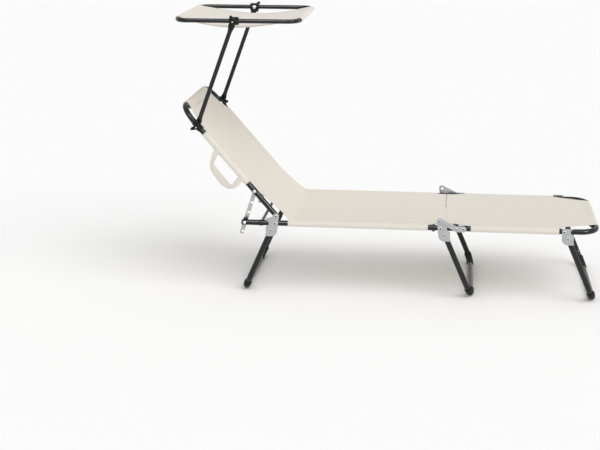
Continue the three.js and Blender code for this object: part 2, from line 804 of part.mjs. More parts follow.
const sleevesBothSides = (from, to) => [-sideY, sideY].map((side) =>
  sleeve(at(from.x, side, from.y), at(to.x, side, to.y), sleeveInner, cloth));

const barSleeve = (x, z, half, inner = sleeveInner) =>
  sleeve(at(x, -half, z), at(x, half, z), inner, cloth);

// The free edge beside the recline hinge: shares of the chord, from the seat sleeve to the
// back sleeve, with shares of the cut-out's depth.
const hingeEdge_shares = [
  [0, 0], [0.03, 0.5], [0.1, 0.86], [0.21, 1], [0.32, 0.93], [0.4, 0.82],
  [0.5, 0.7], [0.65, 0.48], [0.8, 0.26], [0.92, 0.1], [1, 0],
];
// Corner cut-outs: shares of the way from a side sleeve's end to the end bar, with shares
// of the way from the full width to the bar sleeve's width.
const cornerEdge_shares = [[0, 0], [0.06, 0.1], [0.42, 0.28], [0.75, 0.58], [0.93, 0.84], [1, 1]];
const leastStep_share = 0.02; // rows of cloth nearer to the slit than this are left out
const frontEdge_shares = [[0, 0], [0.18, 0.5], [0.5, 0.85], [1, 1]];

const seatLevel = seatHeight + clothLevel;
const barHalf = sideY - bendRadius - barSleeveShort;

// The chord that the cloth takes past the recline hinge, from seat sleeve to back sleeve.
const chordStart = point(seatSleeveStart, seatLevel);
const chordEnd = backPoint(sleeveStart, clothLevel);
const chordLength = chordStart.distanceTo(chordEnd);
const chordWay = chordEnd.clone().sub(chordStart).normalize();
// Seat and back meet where both are as far from the pivot as the seat's sleeve end is, so
// that neither touches the other as the back turns.
const meeting = (2 * reclinePivot.clone().sub(chordStart).dot(chordWay)) / chordLength;

function hingeInset(share) {
  const i = Math.max(1, hingeEdge_shares.findIndex(([s]) => s >= share));
  const [[s0, d0], [s1, d1]] = [hingeEdge_shares[i - 1], hingeEdge_shares[i]];
  return hingeNotch * THREE.MathUtils.mapLinear(share, s0, s1, d0, d1);
}

const onChord = (share) => chordStart.clone().addScaledVector(chordWay, share * chordLength);

const chordStation = (share) => ({
  spot: onChord(share), half: sideY - hingeInset(share), sag: (seatSag * 2) / 3,
});

function seatCloth() {
  const rise = meeting - slit / 2 / chordLength;
  const lip = [rise, ...hingeEdge_shares.map(([s]) => s).filter((s) => s < rise - leastStep_share).reverse()];
  const sleeveStop = foldX - noseLength - frontNotchLength;
  const run = [seatSleeveStart, sleeveStop].map((x) => ({
    spot: point(x, seatLevel), half: sideY, sag: seatSag,
  }));
  const front = frontEdge_shares.slice(1).map(([s, depth]) => ({
    spot: point(THREE.MathUtils.lerp(sleeveStop, foldX - slit / 2, s), seatLevel),
    half: sideY - frontNotch * depth, sag: seatSag,
  }));
  const stations = [...lip.map(chordStation).slice(0, -1), ...run, ...front];
  const from = point(seatSleeveStart, seatHeight);
  return join(panel(stations), ...sleevesBothSides(from, point(sleeveStop, seatHeight)));
}

// The back's cloth in the backrest's own frame, lying flat.
function backCloth() {
  const flat = (spot) => {
    const from = spot.clone().sub(reclinePivot);
    return point(from.x * Math.cos(recline) - from.y * Math.sin(recline),
      from.x * Math.sin(recline) + from.y * Math.cos(recline));
  };
  const start = meeting + slit / 2 / chordLength;
  const lower = [start, ...hingeEdge_shares.map(([s]) => s).filter((s) => s > start + leastStep_share)]
    .map(chordStation)
    .map(({ spot, half, sag }) => ({ spot: flat(spot), half, sag }));
  const middle = { spot: point(-sleeveEnd, clothLevel), half: sideY, sag: (seatSag * 2) / 3 };
  const head = cornerEdge_shares.slice(1).map(([s, narrow]) => ({
    spot: point(-THREE.MathUtils.lerp(sleeveEnd, backLength, s), clothLevel),
    half: THREE.MathUtils.lerp(sideY, barHalf, narrow), sag: (seatSag * 2 * (1 - s)) / 3,
  }));
  const stations = [...lower, middle, ...head].reverse();
  return join(panel(stations), barSleeve(-backLength, 0, barHalf),
    ...sleevesBothSides(point(-sleeveEnd, 0), point(-sleeveStart, 0)));
}

function footCloth() {
  const local = (x) => x - footPivot.x;
  const level = clothLevel - pivotRise;
  const sleeveFrom = foldX + earReach + frontNotchLength / 2;
  const sleeveTo = endBracketX - bracketMargin;
  const front = [...frontEdge_shares].reverse().slice(0, -1).map(([s, depth]) => ({
    spot: point(local(THREE.MathUtils.lerp(sleeveFrom, foldX + slit / 2, s)), level),
    half: sideY - frontNotch * depth, sag: seatSag,
  }));
  const run = [[sleeveFrom, 1], [sleeveTo, 2 / 3]].map(([x, depth]) => ({
    spot: point(local(x), level), half: sideY, sag: seatSag * depth,
  }));
  const end = cornerEdge_shares.slice(1).map(([s, narrow]) => ({
    spot: point(local(THREE.MathUtils.lerp(sleeveTo, footBarX, s)), level),
    half: THREE.MathUtils.lerp(sideY, barHalf, narrow), sag: (seatSag * 2 * (1 - s)) / 3,
  }));
  return join(panel([...front, ...run, ...end]), barSleeve(local(footBarX), -pivotRise, barHalf),
    ...sleevesBothSides(point(local(sleeveFrom), -pivotRise), point(local(sleeveTo), -pivotRise)));
}

// The canopy's cloth is sleeved on the end bars and hangs free between them.
function canopySheet() {
  const [left, right] = canopyEnds;
  const inner = canopyRadius + clearance;
  const full = canopyY - canopyRadius - canopyInset;
  const narrow = canopyY - canopyBend - barSleeveShort;
  const count = 18;
  const stations = Array.from({ length: count + 1 }, (_, i) => {
    const share = i / count;
    const side = 2 * share - 1;
    const edge = Math.min(share, 1 - share) * canopyLength;
    const open = THREE.MathUtils.smoothstep(edge, 0, canopyCorner);
    return {
      spot: point(THREE.MathUtils.lerp(left, right, share),
        inner + cloth / 2 - canopySag * (1 - side * side)),
      half: THREE.MathUtils.lerp(narrow, full, open),
      sag: 0,
    };
  });
  return join(panel(stations, 4), barSleeve(left, 0, narrow, inner),
    barSleeve(right, 0, narrow, inner));
}

// The carry handle: a band folded into a loop, flat against the outside of the near back
// sleeve. It is drawn in the backrest's frame, with the loop below the tube.
function carryHandle() {
  const level = tubeFace + clearance + cloth + clearance;
  const corner = (along, drop) => at(-along, 0, -drop);
  const middle = stationsThrough([
    corner(handleTop, 0), corner(handleTop - handleSlant, handleDrop),
    corner(handleBottom, handleDrop), corner(handleBottom, 0),
  ], handleBend);
  const edge = (side) => middle.map(({ place, tangent }) =>
    point(place.x - tangent.z * side, place.z + tangent.x * side));
  const outline = [...edge(webbing / 2), ...edge(-webbing / 2).reverse()];
  return plate(new THREE.Shape(outline), level, level + webbingThickness);
}

// The assembly

const lounger = new THREE.Group();
const group = (parent, place, turn = 0) => {
  const child = new THREE.Group();
  child.position.set(place.x, 0, place.y);
  child.rotation.y = turn;
  parent.add(child);
  return child;
};
const add = (parent, name, geometry, material, x = 0, z = 0) => {
  const mesh = new THREE.Mesh(geometry, material());
  mesh.name = name;
  mesh.position.set(x, 0, z);
  parent.add(mesh);
  return mesh;
};
const addPair = (parent, name, geometry, material, x = 0, z = 0) => {
  add(parent, `${name}_far`, geometry, material, x, z);
  add(parent, `${name}_near`, mirrored(geometry), material, x, z);
};

const seat = group(lounger, point(0, 0));
addPair(seat, 'seat_tube', seatTube(), blackPaint);
add(seat, 'rear_crossbar', straightCrossbar(), zinc);
add(seat, 'front_crossbar', bowedCrossbar(), blackPaint);
addPair(seat, 'rear_collar', weldCollar(-rearCrossbarSetback), blackPaint);
addPair(seat, 'rear_plate', hingePlate(true), galvanised, 0, seatHeight);
addPair(seat, 'front_plate', frontPlate(), galvanised, seatLength, seatHeight);
addPair(seat, 'ratchet_pin', ratchetPin(), brightSteel);
addPair(seat, 'ratchet_guide', ratchetGuide(), blackPlastic);
add(seat, 'seat_sling', seatCloth(), creamCloth);

const back = group(lounger, reclinePivot, recline);
add(back, 'back_frame', backFrame(), blackPaint);
add(back, 'back_sling', backCloth(), creamCloth);
addPair(back, 'clamp_block', clampBlock(tubeRadius, sideY, clampLength, clampWall, clampRibs),
  blackPlastic, -clampPlace);
addPair(back, 'clamp_bolt',
  clampBolt(sideY - tubeRadius - clampWall - 2 * clearance), brightSteel, -clampPlace);
add(back, 'clamp_knob_far', knob(), blackPlastic, -clampPlace);
add(back, 'clamp_knob_near', mirrored(knob(nearClampTurn)), blackPlastic, -clampPlace);
addPair(back, 'bar_rivet', barRivet(), brightSteel);
add(back, 'carry_handle', mirrored(carryHandle()), creamCloth);

const bars = group(lounger, barPivot, barTilt);
addPair(bars, 'ratchet_bar', ratchetBar(), zinc);

const arms = group(lounger, clampPivot, armTilt);
addPair(arms, 'canopy_arm', canopyArm(), blackPaint);

const canopy = group(lounger, canopyPivot);
add(canopy, 'canopy_frame', canopyFrame(), blackPaint);
add(canopy, 'canopy_sling', canopySheet(), canopyCloth);
addPair(canopy, 'hinge_block',
  clampBlock(canopyRadius, canopyY, hingeBlockLength, hingeWall, 0), blackPlastic);
addPair(canopy, 'hinge_bolt',
  clampBolt(canopyY - canopyRadius - clampWall - 2 * clearance), brightSteel);
add(canopy, 'hinge_knob_far', knob(farHingeTurn), blackPlastic);
add(canopy, 'hinge_knob_near', mirrored(knob(nearHingeTurn)), blackPlastic);

const foot = group(lounger, footPivot);
add(foot, 'foot_frame', footFrame(), blackPaint);
add(foot, 'foot_sling', footCloth(), creamCloth);
addPair(foot, 'foot_ear', footEar(), galvanised);
addPair(foot, 'leg_bracket', faceFoot(hingePlate(false)), galvanised,
  endBracketX - footPivot.x, -pivotRise);

const legs = [
  ['rear_leg', rearLegPivot, -1], ['middle_leg', frontLegPivot, 1], ['end_leg', endLegPivot, 1],
];
for (const [name, pivot, toward] of legs) {
  const leg = group(lounger, pivot);
  add(leg, name, legFrame(toward), blackPaint);
  addPair(leg, `${name}_cap`, legCap(toward), rubber);
}

// The origin is on the floor, under the middle of the lounger's bounding box.
const box = new THREE.Box3().setFromObject(lounger, true);
const middle = box.getCenter(new THREE.Vector3());
lounger.position.set(-middle.x, -middle.y, -box.min.z);

export default lounger;
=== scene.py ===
# %% [markdown]
# # A folding sun lounger with a tilting canopy
# The lounger is a dark tube frame with cream cloth sleeved over its tubes. Its backrest hangs
# on two notched bars, and a canopy stands on two arms that are held by three-winged knobs.
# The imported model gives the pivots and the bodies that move. This script dresses them: each
# piece is a surface worked out as arrays, and each finish is a small tree of nodes.

import json

import bmesh
import bpy
import numpy as np
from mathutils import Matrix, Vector


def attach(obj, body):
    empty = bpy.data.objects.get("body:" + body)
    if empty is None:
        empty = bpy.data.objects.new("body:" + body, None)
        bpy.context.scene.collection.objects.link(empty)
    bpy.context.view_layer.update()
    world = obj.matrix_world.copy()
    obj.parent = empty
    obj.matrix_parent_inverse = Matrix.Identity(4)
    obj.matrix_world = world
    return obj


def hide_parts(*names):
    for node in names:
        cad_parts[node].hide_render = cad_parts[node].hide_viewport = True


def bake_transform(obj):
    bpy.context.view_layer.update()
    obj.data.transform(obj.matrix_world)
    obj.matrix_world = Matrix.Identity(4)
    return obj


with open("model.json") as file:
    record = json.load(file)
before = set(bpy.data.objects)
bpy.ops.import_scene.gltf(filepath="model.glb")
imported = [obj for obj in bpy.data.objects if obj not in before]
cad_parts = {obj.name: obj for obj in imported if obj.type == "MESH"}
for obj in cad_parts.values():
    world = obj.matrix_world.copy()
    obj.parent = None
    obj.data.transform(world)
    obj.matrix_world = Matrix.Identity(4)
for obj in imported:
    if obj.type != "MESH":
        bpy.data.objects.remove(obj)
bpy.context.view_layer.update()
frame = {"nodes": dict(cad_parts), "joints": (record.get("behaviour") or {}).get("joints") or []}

# %% [markdown]
# ## Sizes and pivots
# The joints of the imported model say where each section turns, so every piece is placed from
# them. The sizes of tubes and cloth are written once, in metres.

# %% Sizes
mm = 0.001
X, Y, Z = np.eye(3)

side_y = 272.5 * mm  # centre line of the side tubes
tube_r = 11 * mm
canopy_r = 8.5 * mm
bend_r = 72 * mm
back_length = 572.5 * mm
cloth_gap = 1.05 * mm  # tube surface to the middle of the cloth
cloth_t = 1.4 * mm
slack = 0.3 * mm  # between parts that lie face to face
pivot_rise = 30.5 * mm  # pivots of back and foot section, over the side tubes' centre lines
pivot_ahead = 3.9 * mm  # the back's pivot, ahead of the plate's rivet

pivot = {j["name"]: np.array(j["pos_m"], float) for j in frame["joints"] if "pos_m" in j}
recline_at, bar_at, clamp_at = pivot["recline"], pivot["ratchet_swing_far"], pivot["arm_swing"]
tilt_at, foot_at = pivot["canopy_tilt"], pivot["foot_fold"]
seat_z = recline_at[2] - pivot_rise
plate_x = recline_at[0] - pivot_ahead  # rivet of the rear hinge plate
fold_x = plate_x + 681 * mm  # where seat and foot section butt
foot_bar_x = fold_x + 599 * mm

up_back = bar_at - recline_at  # along the backrest, from its pivot to its head
up_back /= np.linalg.norm(up_back)
off_back = np.cross(up_back, Y)  # out of the backrest's upper face
off_back *= np.sign(off_back[2])
print("backrest stands at", round(float(np.degrees(np.arctan2(up_back[2], -up_back[0]))), 1),
      "degrees")


def on_back(along, out=0.0, y=0.0):
    """A place on the backrest: pivot + along * up_back + out * off_back + y * Y."""
    along, out, y = np.broadcast_arrays(along, out, y)
    return recline_at + along[..., None] * up_back + out[..., None] * off_back + y[..., None] * Y


# %% [markdown]
# ## From arrays to meshes
# Almost every piece here is a grid of points: rows along the piece, columns round it. One
# helper turns such a grid into a mesh, closing it round the columns and over the ends.

# %% Lines and circles
def unit(v):
    """Each row of v divided by its length."""
    return v / np.linalg.norm(v, axis=-1, keepdims=True)


def run_along(line):
    """The length of a line up to each of its points."""
    return np.concatenate([[0], np.cumsum(np.linalg.norm(np.diff(line, axis=0), axis=1))])


def read_at(at, run, line):
    """The places on a line at the given lengths."""
    return np.stack([np.interp(at, run, line[:, k]) for k in range(3)], -1)


def rings(places, radius, across, up, sides):
    """A circle at each place: p + r * (cos(a) * across + sin(a) * up), for a round the turn."""
    a = np.linspace(0, 2 * np.pi, sides, endpoint=False)[:, None]
    radius = np.broadcast_to(radius, len(places))[:, None, None]
    across, up = (np.broadcast_to(v, places.shape)[:, None, :] for v in (across, up))
    return places[:, None, :] + radius * (np.cos(a) * across + np.sin(a) * up)


# %% Grid to mesh
def mesh_piece(name, points, faces, body=None, sharp=40, uv=None):
    """A mesh object at the origin from points (n, 3) and faces (lists of indices)."""
    mesh = bpy.data.meshes.new(name)
    mesh.from_pydata(np.asarray(points).reshape(-1, 3).tolist(), [], faces)
    if uv is not None:
        layer = mesh.uv_layers.new(name="cloth")
        corner = np.empty(len(mesh.loops), int)
        mesh.loops.foreach_get("vertex_index", corner)
        layer.data.foreach_set("uv", np.asarray(uv).reshape(-1, 2)[corner].ravel())
    mesh.polygons.foreach_set("use_smooth", np.ones(len(mesh.polygons), bool))
    mesh.set_sharp_from_angle(angle=np.radians(sharp))
    piece = bpy.data.objects.new(name, mesh)
    bpy.context.scene.collection.objects.link(piece)
    if body:
        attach(piece, body)
    return piece


def grid_faces(rows, columns, round_=True, caps=True, start=0):
    """Quads between neighbouring rows and columns of a grid, and one face over each end."""
    last = columns if round_ else columns - 1
    r, c = np.meshgrid(np.arange(rows - 1), np.arange(last), indexing="ij")
    a, b = r * columns + c, r * columns + (c + 1) % columns
    quads = np.stack([a, b, b + columns, a + columns], -1).reshape(-1, 4) + start
    faces = quads.tolist()
    if caps and round_:
        faces.append((start + np.arange(columns))[::-1].tolist())
        faces.append((start + (rows - 1) * columns + np.arange(columns)).tolist())
    return faces


def ring_faces(rows, columns):
    """A grid closed both ways: its last row is also joined to its first."""
    last, wrap = (rows - 1) * columns, np.arange(columns)
    ahead = (wrap + 1) % columns
    seam = np.stack([last + wrap, last + ahead, ahead, wrap], -1)
    return grid_faces(rows, columns, caps=False) + seam.tolist()


def outward(piece):
    """Merge doubled points and turn all faces to one side, outwards where the mesh is closed."""
    work = bmesh.new()
    work.from_mesh(piece.data)
    bmesh.ops.remove_doubles(work, verts=work.verts, dist=1e-6)
    bmesh.ops.recalc_face_normals(work, faces=work.faces)
    work.to_mesh(piece.data)
    work.free()
    return piece


def joined(name, pieces, body=None):
    """One object from several, in the order given."""
    work = bmesh.new()
    for piece in pieces:
        work.from_mesh(piece.data)
    mesh = bpy.data.meshes.new(name)
    work.to_mesh(mesh)
    work.free()
    for piece in pieces:
        bpy.data.objects.remove(piece)
    whole = bpy.data.objects.new(name, mesh)
    bpy.context.scene.collection.objects.link(whole)
    if body:
        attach(whole, body)
    return whole


# %% [markdown]
# ## Tubes
# A bent tube is a circle carried along a path of straight runs and round bends. All the bends
# of one frame lie in one plane, so the circle's axes are simply the plane's normal and the
# direction square to it and to the path, and the tube can't twist.

# %% Path and tube
def rounded_path(corners, radius, steps=20):
    """Places and directions along straight runs joined by arcs of the given radius: an arc's
    point is centre - side * r * cos(a) + before * r * sin(a), for a from 0 to the bend."""
    corners = np.asarray(corners, float)
    runs = unit(np.diff(corners, axis=0))
    places, ways = [corners[:1]], [runs[:1]]
    for corner, before, after in zip(corners[1:-1], runs[:-1], runs[1:]):
        bend = np.arccos(np.clip(before @ after, -1, 1))
        side = after - (before @ after) * before
        side /= np.linalg.norm(side)
        a = np.linspace(0, bend, steps + 1)[:, None]
        centre = corner - before * radius * np.tan(bend / 2) + side * radius
        places.append(centre - side * radius * np.cos(a) + before * radius * np.sin(a))
        ways.append(before * np.cos(a) + side * np.sin(a))
    places.append(corners[-1:])
    ways.append(runs[-1:])
    return np.concatenate(places), np.concatenate(ways)


def tube(name, places, ways, plane, radii, body=None, sides=40):
    """Rings along places, on the axes plane and square, where square is plane x way."""
    square = np.cross(np.broadcast_to(plane, ways.shape), ways)
    points = rings(places, radii, square, plane, sides)
    return outward(mesh_piece(name, points, grid_faces(len(places), sides), body))


open_shares = np.array([[-1.6, 0.9], [-0.02, 0.9], [0, 0.92], [0, 0.975], [-0.02, 1.0]])


def open_ends(places, ways, radius, start=True, end=True):
    """Extra rings that turn the wall in at a cut end and back down the bore, so that the tube
    shows its wall: each is (run past the end, share of the radius) times the radius."""
    radii = np.full(len(places), radius)
    if start:
        head = places[0] - open_shares[:, :1] * radius * ways[0]
        places = np.concatenate([head, places[1:]])
        ways = np.concatenate([np.tile(ways[0], (len(head), 1)), ways[1:]])
        radii = np.concatenate([open_shares[:, 1] * radius, radii[1:]])
    if end:
        tail = (places[-1] + open_shares[:, :1] * radius * ways[-1])[::-1]
        places = np.concatenate([places[:-1], tail])
        ways = np.concatenate([ways[:-1], np.tile(ways[-1], (len(tail), 1))])
        radii = np.concatenate([radii[:-1], open_shares[::-1, 1] * radius])
    return places, ways, radii


def rod_piece(name, corners, radius, plane, body, bend=bend_r, replaces=(), **ends):
    """A bent tube with open ends, which stands for the named nodes."""
    places, ways = rounded_path(corners, bend)
    places, ways, radii = open_ends(places, ways, radius, **ends)
    piece = tube(name, places, ways, plane, radii, body)
    if replaces:
        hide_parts(*replaces)
    return piece


# %% [markdown]
# ## The frame
# Seat tubes, the U of the backrest, the U of the foot section and three U-shaped legs. Each U
# is one bent tube, as a tube bender makes it.

# %% Seat tubes, backrest and foot section
paint_pieces = []
for side, word in ((1, "far"), (-1, "near")):
    y = side * side_y
    ends = [[plate_x - 138 * mm, y, seat_z], [fold_x - slack, y, seat_z]]
    paint_pieces.append(rod_piece(f"seat_rail_{word}", ends, tube_r, Y, "seat",
                                  replaces=[f"seat_tube_{word}"]))

heel, head = on_back(-9 * mm), on_back(back_length)
back_u = [heel - side_y * Y, head - side_y * Y, head + side_y * Y, heel + side_y * Y]
paint_pieces.append(rod_piece("backrest_tube", back_u, tube_r, off_back, "backrest",
                              replaces=["back_frame"]))

foot_z = foot_at[2] - pivot_rise
start, end = np.array([fold_x + slack, 0, foot_z]), np.array([foot_bar_x, 0, foot_z])
foot_u = [start - side_y * Y, end - side_y * Y, end + side_y * Y, start + side_y * Y]
paint_pieces.append(rod_piece("foot_section_tube", foot_u, tube_r, Z, "foot_section",
                              replaces=["foot_frame"]))

# %% Legs and crossbars
lean = np.radians(23.7)
floor_bar_z = 13.5 * mm
leg_bend = 66 * mm
legs = [("rear_leg", -1), ("middle_leg", 1), ("end_leg", 1)]
leg_lines = {}
for name, toward in legs:
    top = pivot[f"{name}_fold"]
    down = np.array([toward * np.sin(lean), 0, -np.cos(lean)])
    knee = top - 8.25 * mm * down
    foot = top + down * (top[2] - floor_bar_z) / np.cos(lean)
    leg_lines[name] = (knee, foot, down)
    u = [knee - side_y * Y, foot - side_y * Y, foot + side_y * Y, knee + side_y * Y]
    paint_pieces.append(rod_piece(f"{name}_tube", u, tube_r, np.cross(down, Y), name,
                                  bend=leg_bend, replaces=[name]))

front_x, low_z, shoulder = fold_x - 46 * mm, seat_z - 34 * mm, 34 * mm
reach = side_y - tube_r - slack
ys = [-reach, shoulder - reach, 2 * shoulder - reach]
bow = [[front_x, y, z] for y, z in zip(ys + [-y for y in ys[::-1]],
                                       [seat_z, seat_z, low_z, low_z, seat_z, seat_z])]
paint_pieces.append(rod_piece("bowed_crossbar", bow, 6 * mm, X, "seat", bend=22 * mm,
                              replaces=["front_crossbar"], start=False, end=False))
rear_x = plate_x - 57.5 * mm
reach = side_y - 12.9 * mm
cross = rod_piece("zinc_crossbar", [[rear_x, -reach, seat_z], [rear_x, reach, seat_z]], 6 * mm,
                  X, "seat", replaces=["rear_crossbar"], start=False, end=False)
zinc_pieces = [cross]

# %% Canopy frame and arms
mid = tilt_at + 9 * mm * X  # the frame's middle lies ahead of its pivots
span, canopy_bend = 480.5 * mm, 46 * mm
corners = [(0, -1), (1, -1), (1, 1), (-1, 1), (-1, -1), (0, -1)]
loop = [mid + i * span / 2 * X + j * side_y * Y for i, j in corners]
places, ways = rounded_path(loop, canopy_bend)
sides = 32
square = np.cross(np.broadcast_to(Z, ways.shape), ways)[:-1]
ring = rings(places[:-1], canopy_r, square, Z, sides)
canopy_tube = outward(mesh_piece("canopy_tube", ring, ring_faces(len(ring), sides), "canopy"))
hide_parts("canopy_frame")
paint_pieces.append(canopy_tube)

arm_y, arm_flat, arm_eye = 290.1 * mm, 6 * mm, 12 * mm
arm_way = tilt_at - clamp_at
arm_length = np.linalg.norm(arm_way)
arm_way /= arm_length


def smooth_step(t):
    """0 below 0 and 1 above 1, by 3 t^2 - 2 t^3 between."""
    t = np.clip(t, 0, 1)
    return t * t * (3 - 2 * t)


def arm(side, word):
    """A tube pressed flat at both ends: the section is an ellipse whose two half sizes go from
    round to thin and wide within 26 mm, and a half circle ends each eye."""
    tip = -arm_eye * np.cos(np.linspace(0, np.pi / 2, 10))
    run = np.concatenate([tip, np.linspace(4, 20, 4) * mm, np.linspace(20, 46, 14)[1:] * mm])
    run = np.concatenate([run, arm_length - run[::-1]])
    near_end = np.minimum(run, arm_length - run)
    press = 1 - smooth_step((near_end - 20 * mm) / (26 * mm))
    tipped = np.sqrt(np.clip(1 - (np.minimum(near_end, 0) / arm_eye) ** 2, 0, 1))
    wide = canopy_r + (arm_eye - canopy_r) * press
    thin = canopy_r + (arm_flat / 2 - canopy_r) * press
    a = np.linspace(0, 2 * np.pi, 40, endpoint=False)
    power = (2 + 5 * press)[:, None]  # a pressed section is nearer a slab than an ellipse
    cos, sin = np.cos(a)[None, :], np.sin(a)[None, :]
    along_x = np.sign(cos) * np.abs(cos) ** (2 / power) * (wide * np.maximum(tipped, 0.02))[:, None]
    along_y = np.sign(sin) * np.abs(sin) ** (2 / power) * thin[:, None]
    base = clamp_at + side * arm_y * Y
    across = np.cross(Y, arm_way)
    points = (base + run[:, None, None] * arm_way + along_x[..., None] * across
              + along_y[..., None] * Y)
    piece = outward(mesh_piece(f"arm_tube_{word}", points, grid_faces(len(run), 40), "canopy_arms"))
    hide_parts(f"canopy_arm_{word}")
    return piece


paint_pieces += [arm(1, "far"), arm(-1, "near")]

# %% [markdown]
# ## Rubber feet
# A moulded rubber elbow is pushed over each lower corner of a leg. It is a short thick sleeve
# along the same bend, with rounded mouths and a flat sole.

# %% Rubber feet
rubber_pieces = []


def rubber_foot(name, side, word):
    """The leg's own corner path, from 22 mm along the floor bar to 62% of the bend, with a
    sleeve whose radius swells by a lip at both mouths. Points below the sole are lifted to it."""
    knee, foot, down = leg_lines[name]
    corner = foot + side * side_y * Y
    places, ways = rounded_path([foot, corner, knee + side * side_y * Y], leg_bend, 24)
    places, ways = places[1:-1], ways[1:-1]
    keep = int(len(places) * 0.67)
    run = np.linspace(22, 2, 6)[:, None] * mm
    places = np.concatenate([places[0] - run * ways[0], places[:keep]])
    ways = np.concatenate([np.tile(ways[0], (len(run), 1)), ways[:keep]])
    outer, bore, lip, rounding = 14.5 * mm, tube_r + 0.25 * mm, 0.5 * mm, 0.7 * mm
    radii = np.full(len(places), outer)
    radii[1:3] += lip
    radii[-3:-1] += lip
    radii[[0, -1]] -= rounding
    places = np.concatenate([places[:1], places, places[-1:]])
    ways = np.concatenate([ways[:1], ways, ways[-1:]])
    radii = np.concatenate([[bore], radii, [bore]])
    sides = 40
    plane = np.cross(down, Y)
    square = np.cross(np.broadcast_to(plane, ways.shape), ways)
    ring = rings(places, radii, square, plane, sides)
    ring[..., 2] = np.maximum(ring[..., 2], 0.0)
    inner = rings(places, bore, square, plane, sides)[1:-1]
    points = np.concatenate([ring, inner[::-1]])
    faces = ring_faces(len(points), sides)
    piece = outward(mesh_piece(f"{name}_rubber_{word}", points, faces, name, sharp=50))
    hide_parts(f"{name}_cap_{word}")
    return piece


for name, _ in legs:
    rubber_pieces += [rubber_foot(name, 1, "far"), rubber_foot(name, -1, "near")]
print("tubes and feet:", len(paint_pieces) + len(rubber_pieces))

# %% [markdown]
# ## Cloth
# One length of cloth runs from the head bar down the back, across the recline hinge and along
# the seat. Its sides are folded round the tubes and sewn down as sleeves; beside the hinge and
# at the corners the edge is cut in and hemmed. It is a spine of stations in the middle plane,
# each with a half width and a sag, and the sleeves are wrapped on at the stations that have one.

# %% Stations along the cloth
def fillet_line(corners, radius, step):
    """The rounded path through corners, read off at equal steps of its length."""
    places, _ = rounded_path(corners, radius, 16)
    run = run_along(places)
    at = np.linspace(0, run[-1], int(round(run[-1] / step)) + 1)
    return at, read_at(at, run, places)


def upward(line):
    """Directions and unit normals of a line in the middle plane, on its upper side."""
    way = unit(np.gradient(line, axis=0))
    normal = np.cross(way, Y)
    return way, normal * np.sign(normal[:, 2:3])


def stretch(name, at, line, half, sag, body, sleeves, bars, folds, columns,
            ring=tube_r + cloth_gap, stitch=30 * mm):
    """The cloth's middle surface. Sheet: spine + t * half * Y - sag * (1 - t^2) * normal, for t
    from -1 to 1. Sleeve: a circle round the tube from its top over the outside to the far side
    of the bottom, then straight to the stitch line under the sheet. sleeves are (first, last)
    station numbers, bars are the ends ("first", "last") that wrap an end bar."""
    way, normal = upward(line)
    t = np.linspace(-1, 1, columns + 1)
    drop = (sag[:, None] * (1 - t**2) + folds(at[:, None], t[None, :]))[..., None]
    sheet = line[:, None, :] + (half[:, None] * t)[..., None] * Y - drop * normal[:, None, :]
    points, maps, faces = [], [], []

    def add(patch, along, across):
        """One more grid of cloth, with its map."""
        faces.extend(grid_faces(*patch.shape[:2], round_=False, start=sum(map(len, points))))
        points.append(patch.reshape(-1, 3))
        maps.append(np.stack(np.broadcast_arrays(along, across), -1).reshape(-1, 2))

    add(sheet, at[:, None], half[:, None] * t)
    far = np.degrees(np.arctan2(ring - 5 * mm, -stitch)) % 360
    leave = far + np.degrees(np.arccos(ring / np.hypot(stitch, ring - 5 * mm)))
    turn = np.radians(np.linspace(90, leave - 360, 25))
    cos, sin = np.cos(turn)[:, None], np.sin(turn)[:, None]
    part = np.linspace(0, 1, 5)[1:, None]  # of the way from the tube to the stitch line
    wrapped = np.concatenate([ring * (turn[0] - turn), ring * (turn[0] - turn[-1]) + stitch * part[:, 0]])
    for first, last in sleeves:
        rows = slice(first, last + 1)
        mid_way, mid_normal = way[(first + last) // 2], normal[(first + last) // 2]
        spot = line[rows] - ring * mid_normal
        mid_row = spot[len(spot) // 2]
        core = mid_row + ((spot - mid_row) @ mid_way)[:, None] * mid_way
        lift = (spot - core)[:, None, :]  # how far the sheet has risen off the tube
        height = ring - sag[rows] * (1 - (1 - stitch / half[rows]) ** 2) - 1.7 * mm
        for side in (-1, 1):
            centre = core + side * half[rows, None] * Y
            loop = (centre[:, None, :] + ring * (cos * side * Y + sin * mid_normal)
                    + np.clip(sin, 0, 1) * lift)
            under = centre - side * stitch * Y + height[:, None] * mid_normal
            flat = loop[:, -1:, :] + part * (under[:, None, :] - loop[:, -1:, :])
            add(np.concatenate([loop, flat], 1), at[rows, None], side * (half[rows, None] + wrapped))
    for which in bars:
        row, sign = (0, -1) if which == "first" else (-1, 1)
        y = half[row] * t
        centre = line[row] - ring * normal[row]
        loop = centre + ring * (cos * sign * way[row] + sin * normal[row])
        under = centre - sign * stitch * way[row] + (ring - 3.2 * mm) * normal[row]
        profile = np.concatenate([loop, loop[-1] + part * (under - loop[-1])])
        add(profile[:, None, :] + y[:, None] * Y, at[row] + sign * wrapped[:, None], y)
    piece = outward(mesh_piece(name, np.concatenate(points), faces, body, sharp=80,
                               uv=np.concatenate(maps)))
    area = sum(p.area for p in piece.data.polygons)
    wall = piece.modifiers.new("thickness", "SOLIDIFY")
    wall.thickness, wall.offset = cloth_t, 0
    return piece, sheet, normal, area


# %% [markdown]
# ### Stitches
# Each seam is a row of short threads lying on the cloth. A thread is a tiny capsule with few
# faces, copied along a line by adding its points to every place in one array sum.

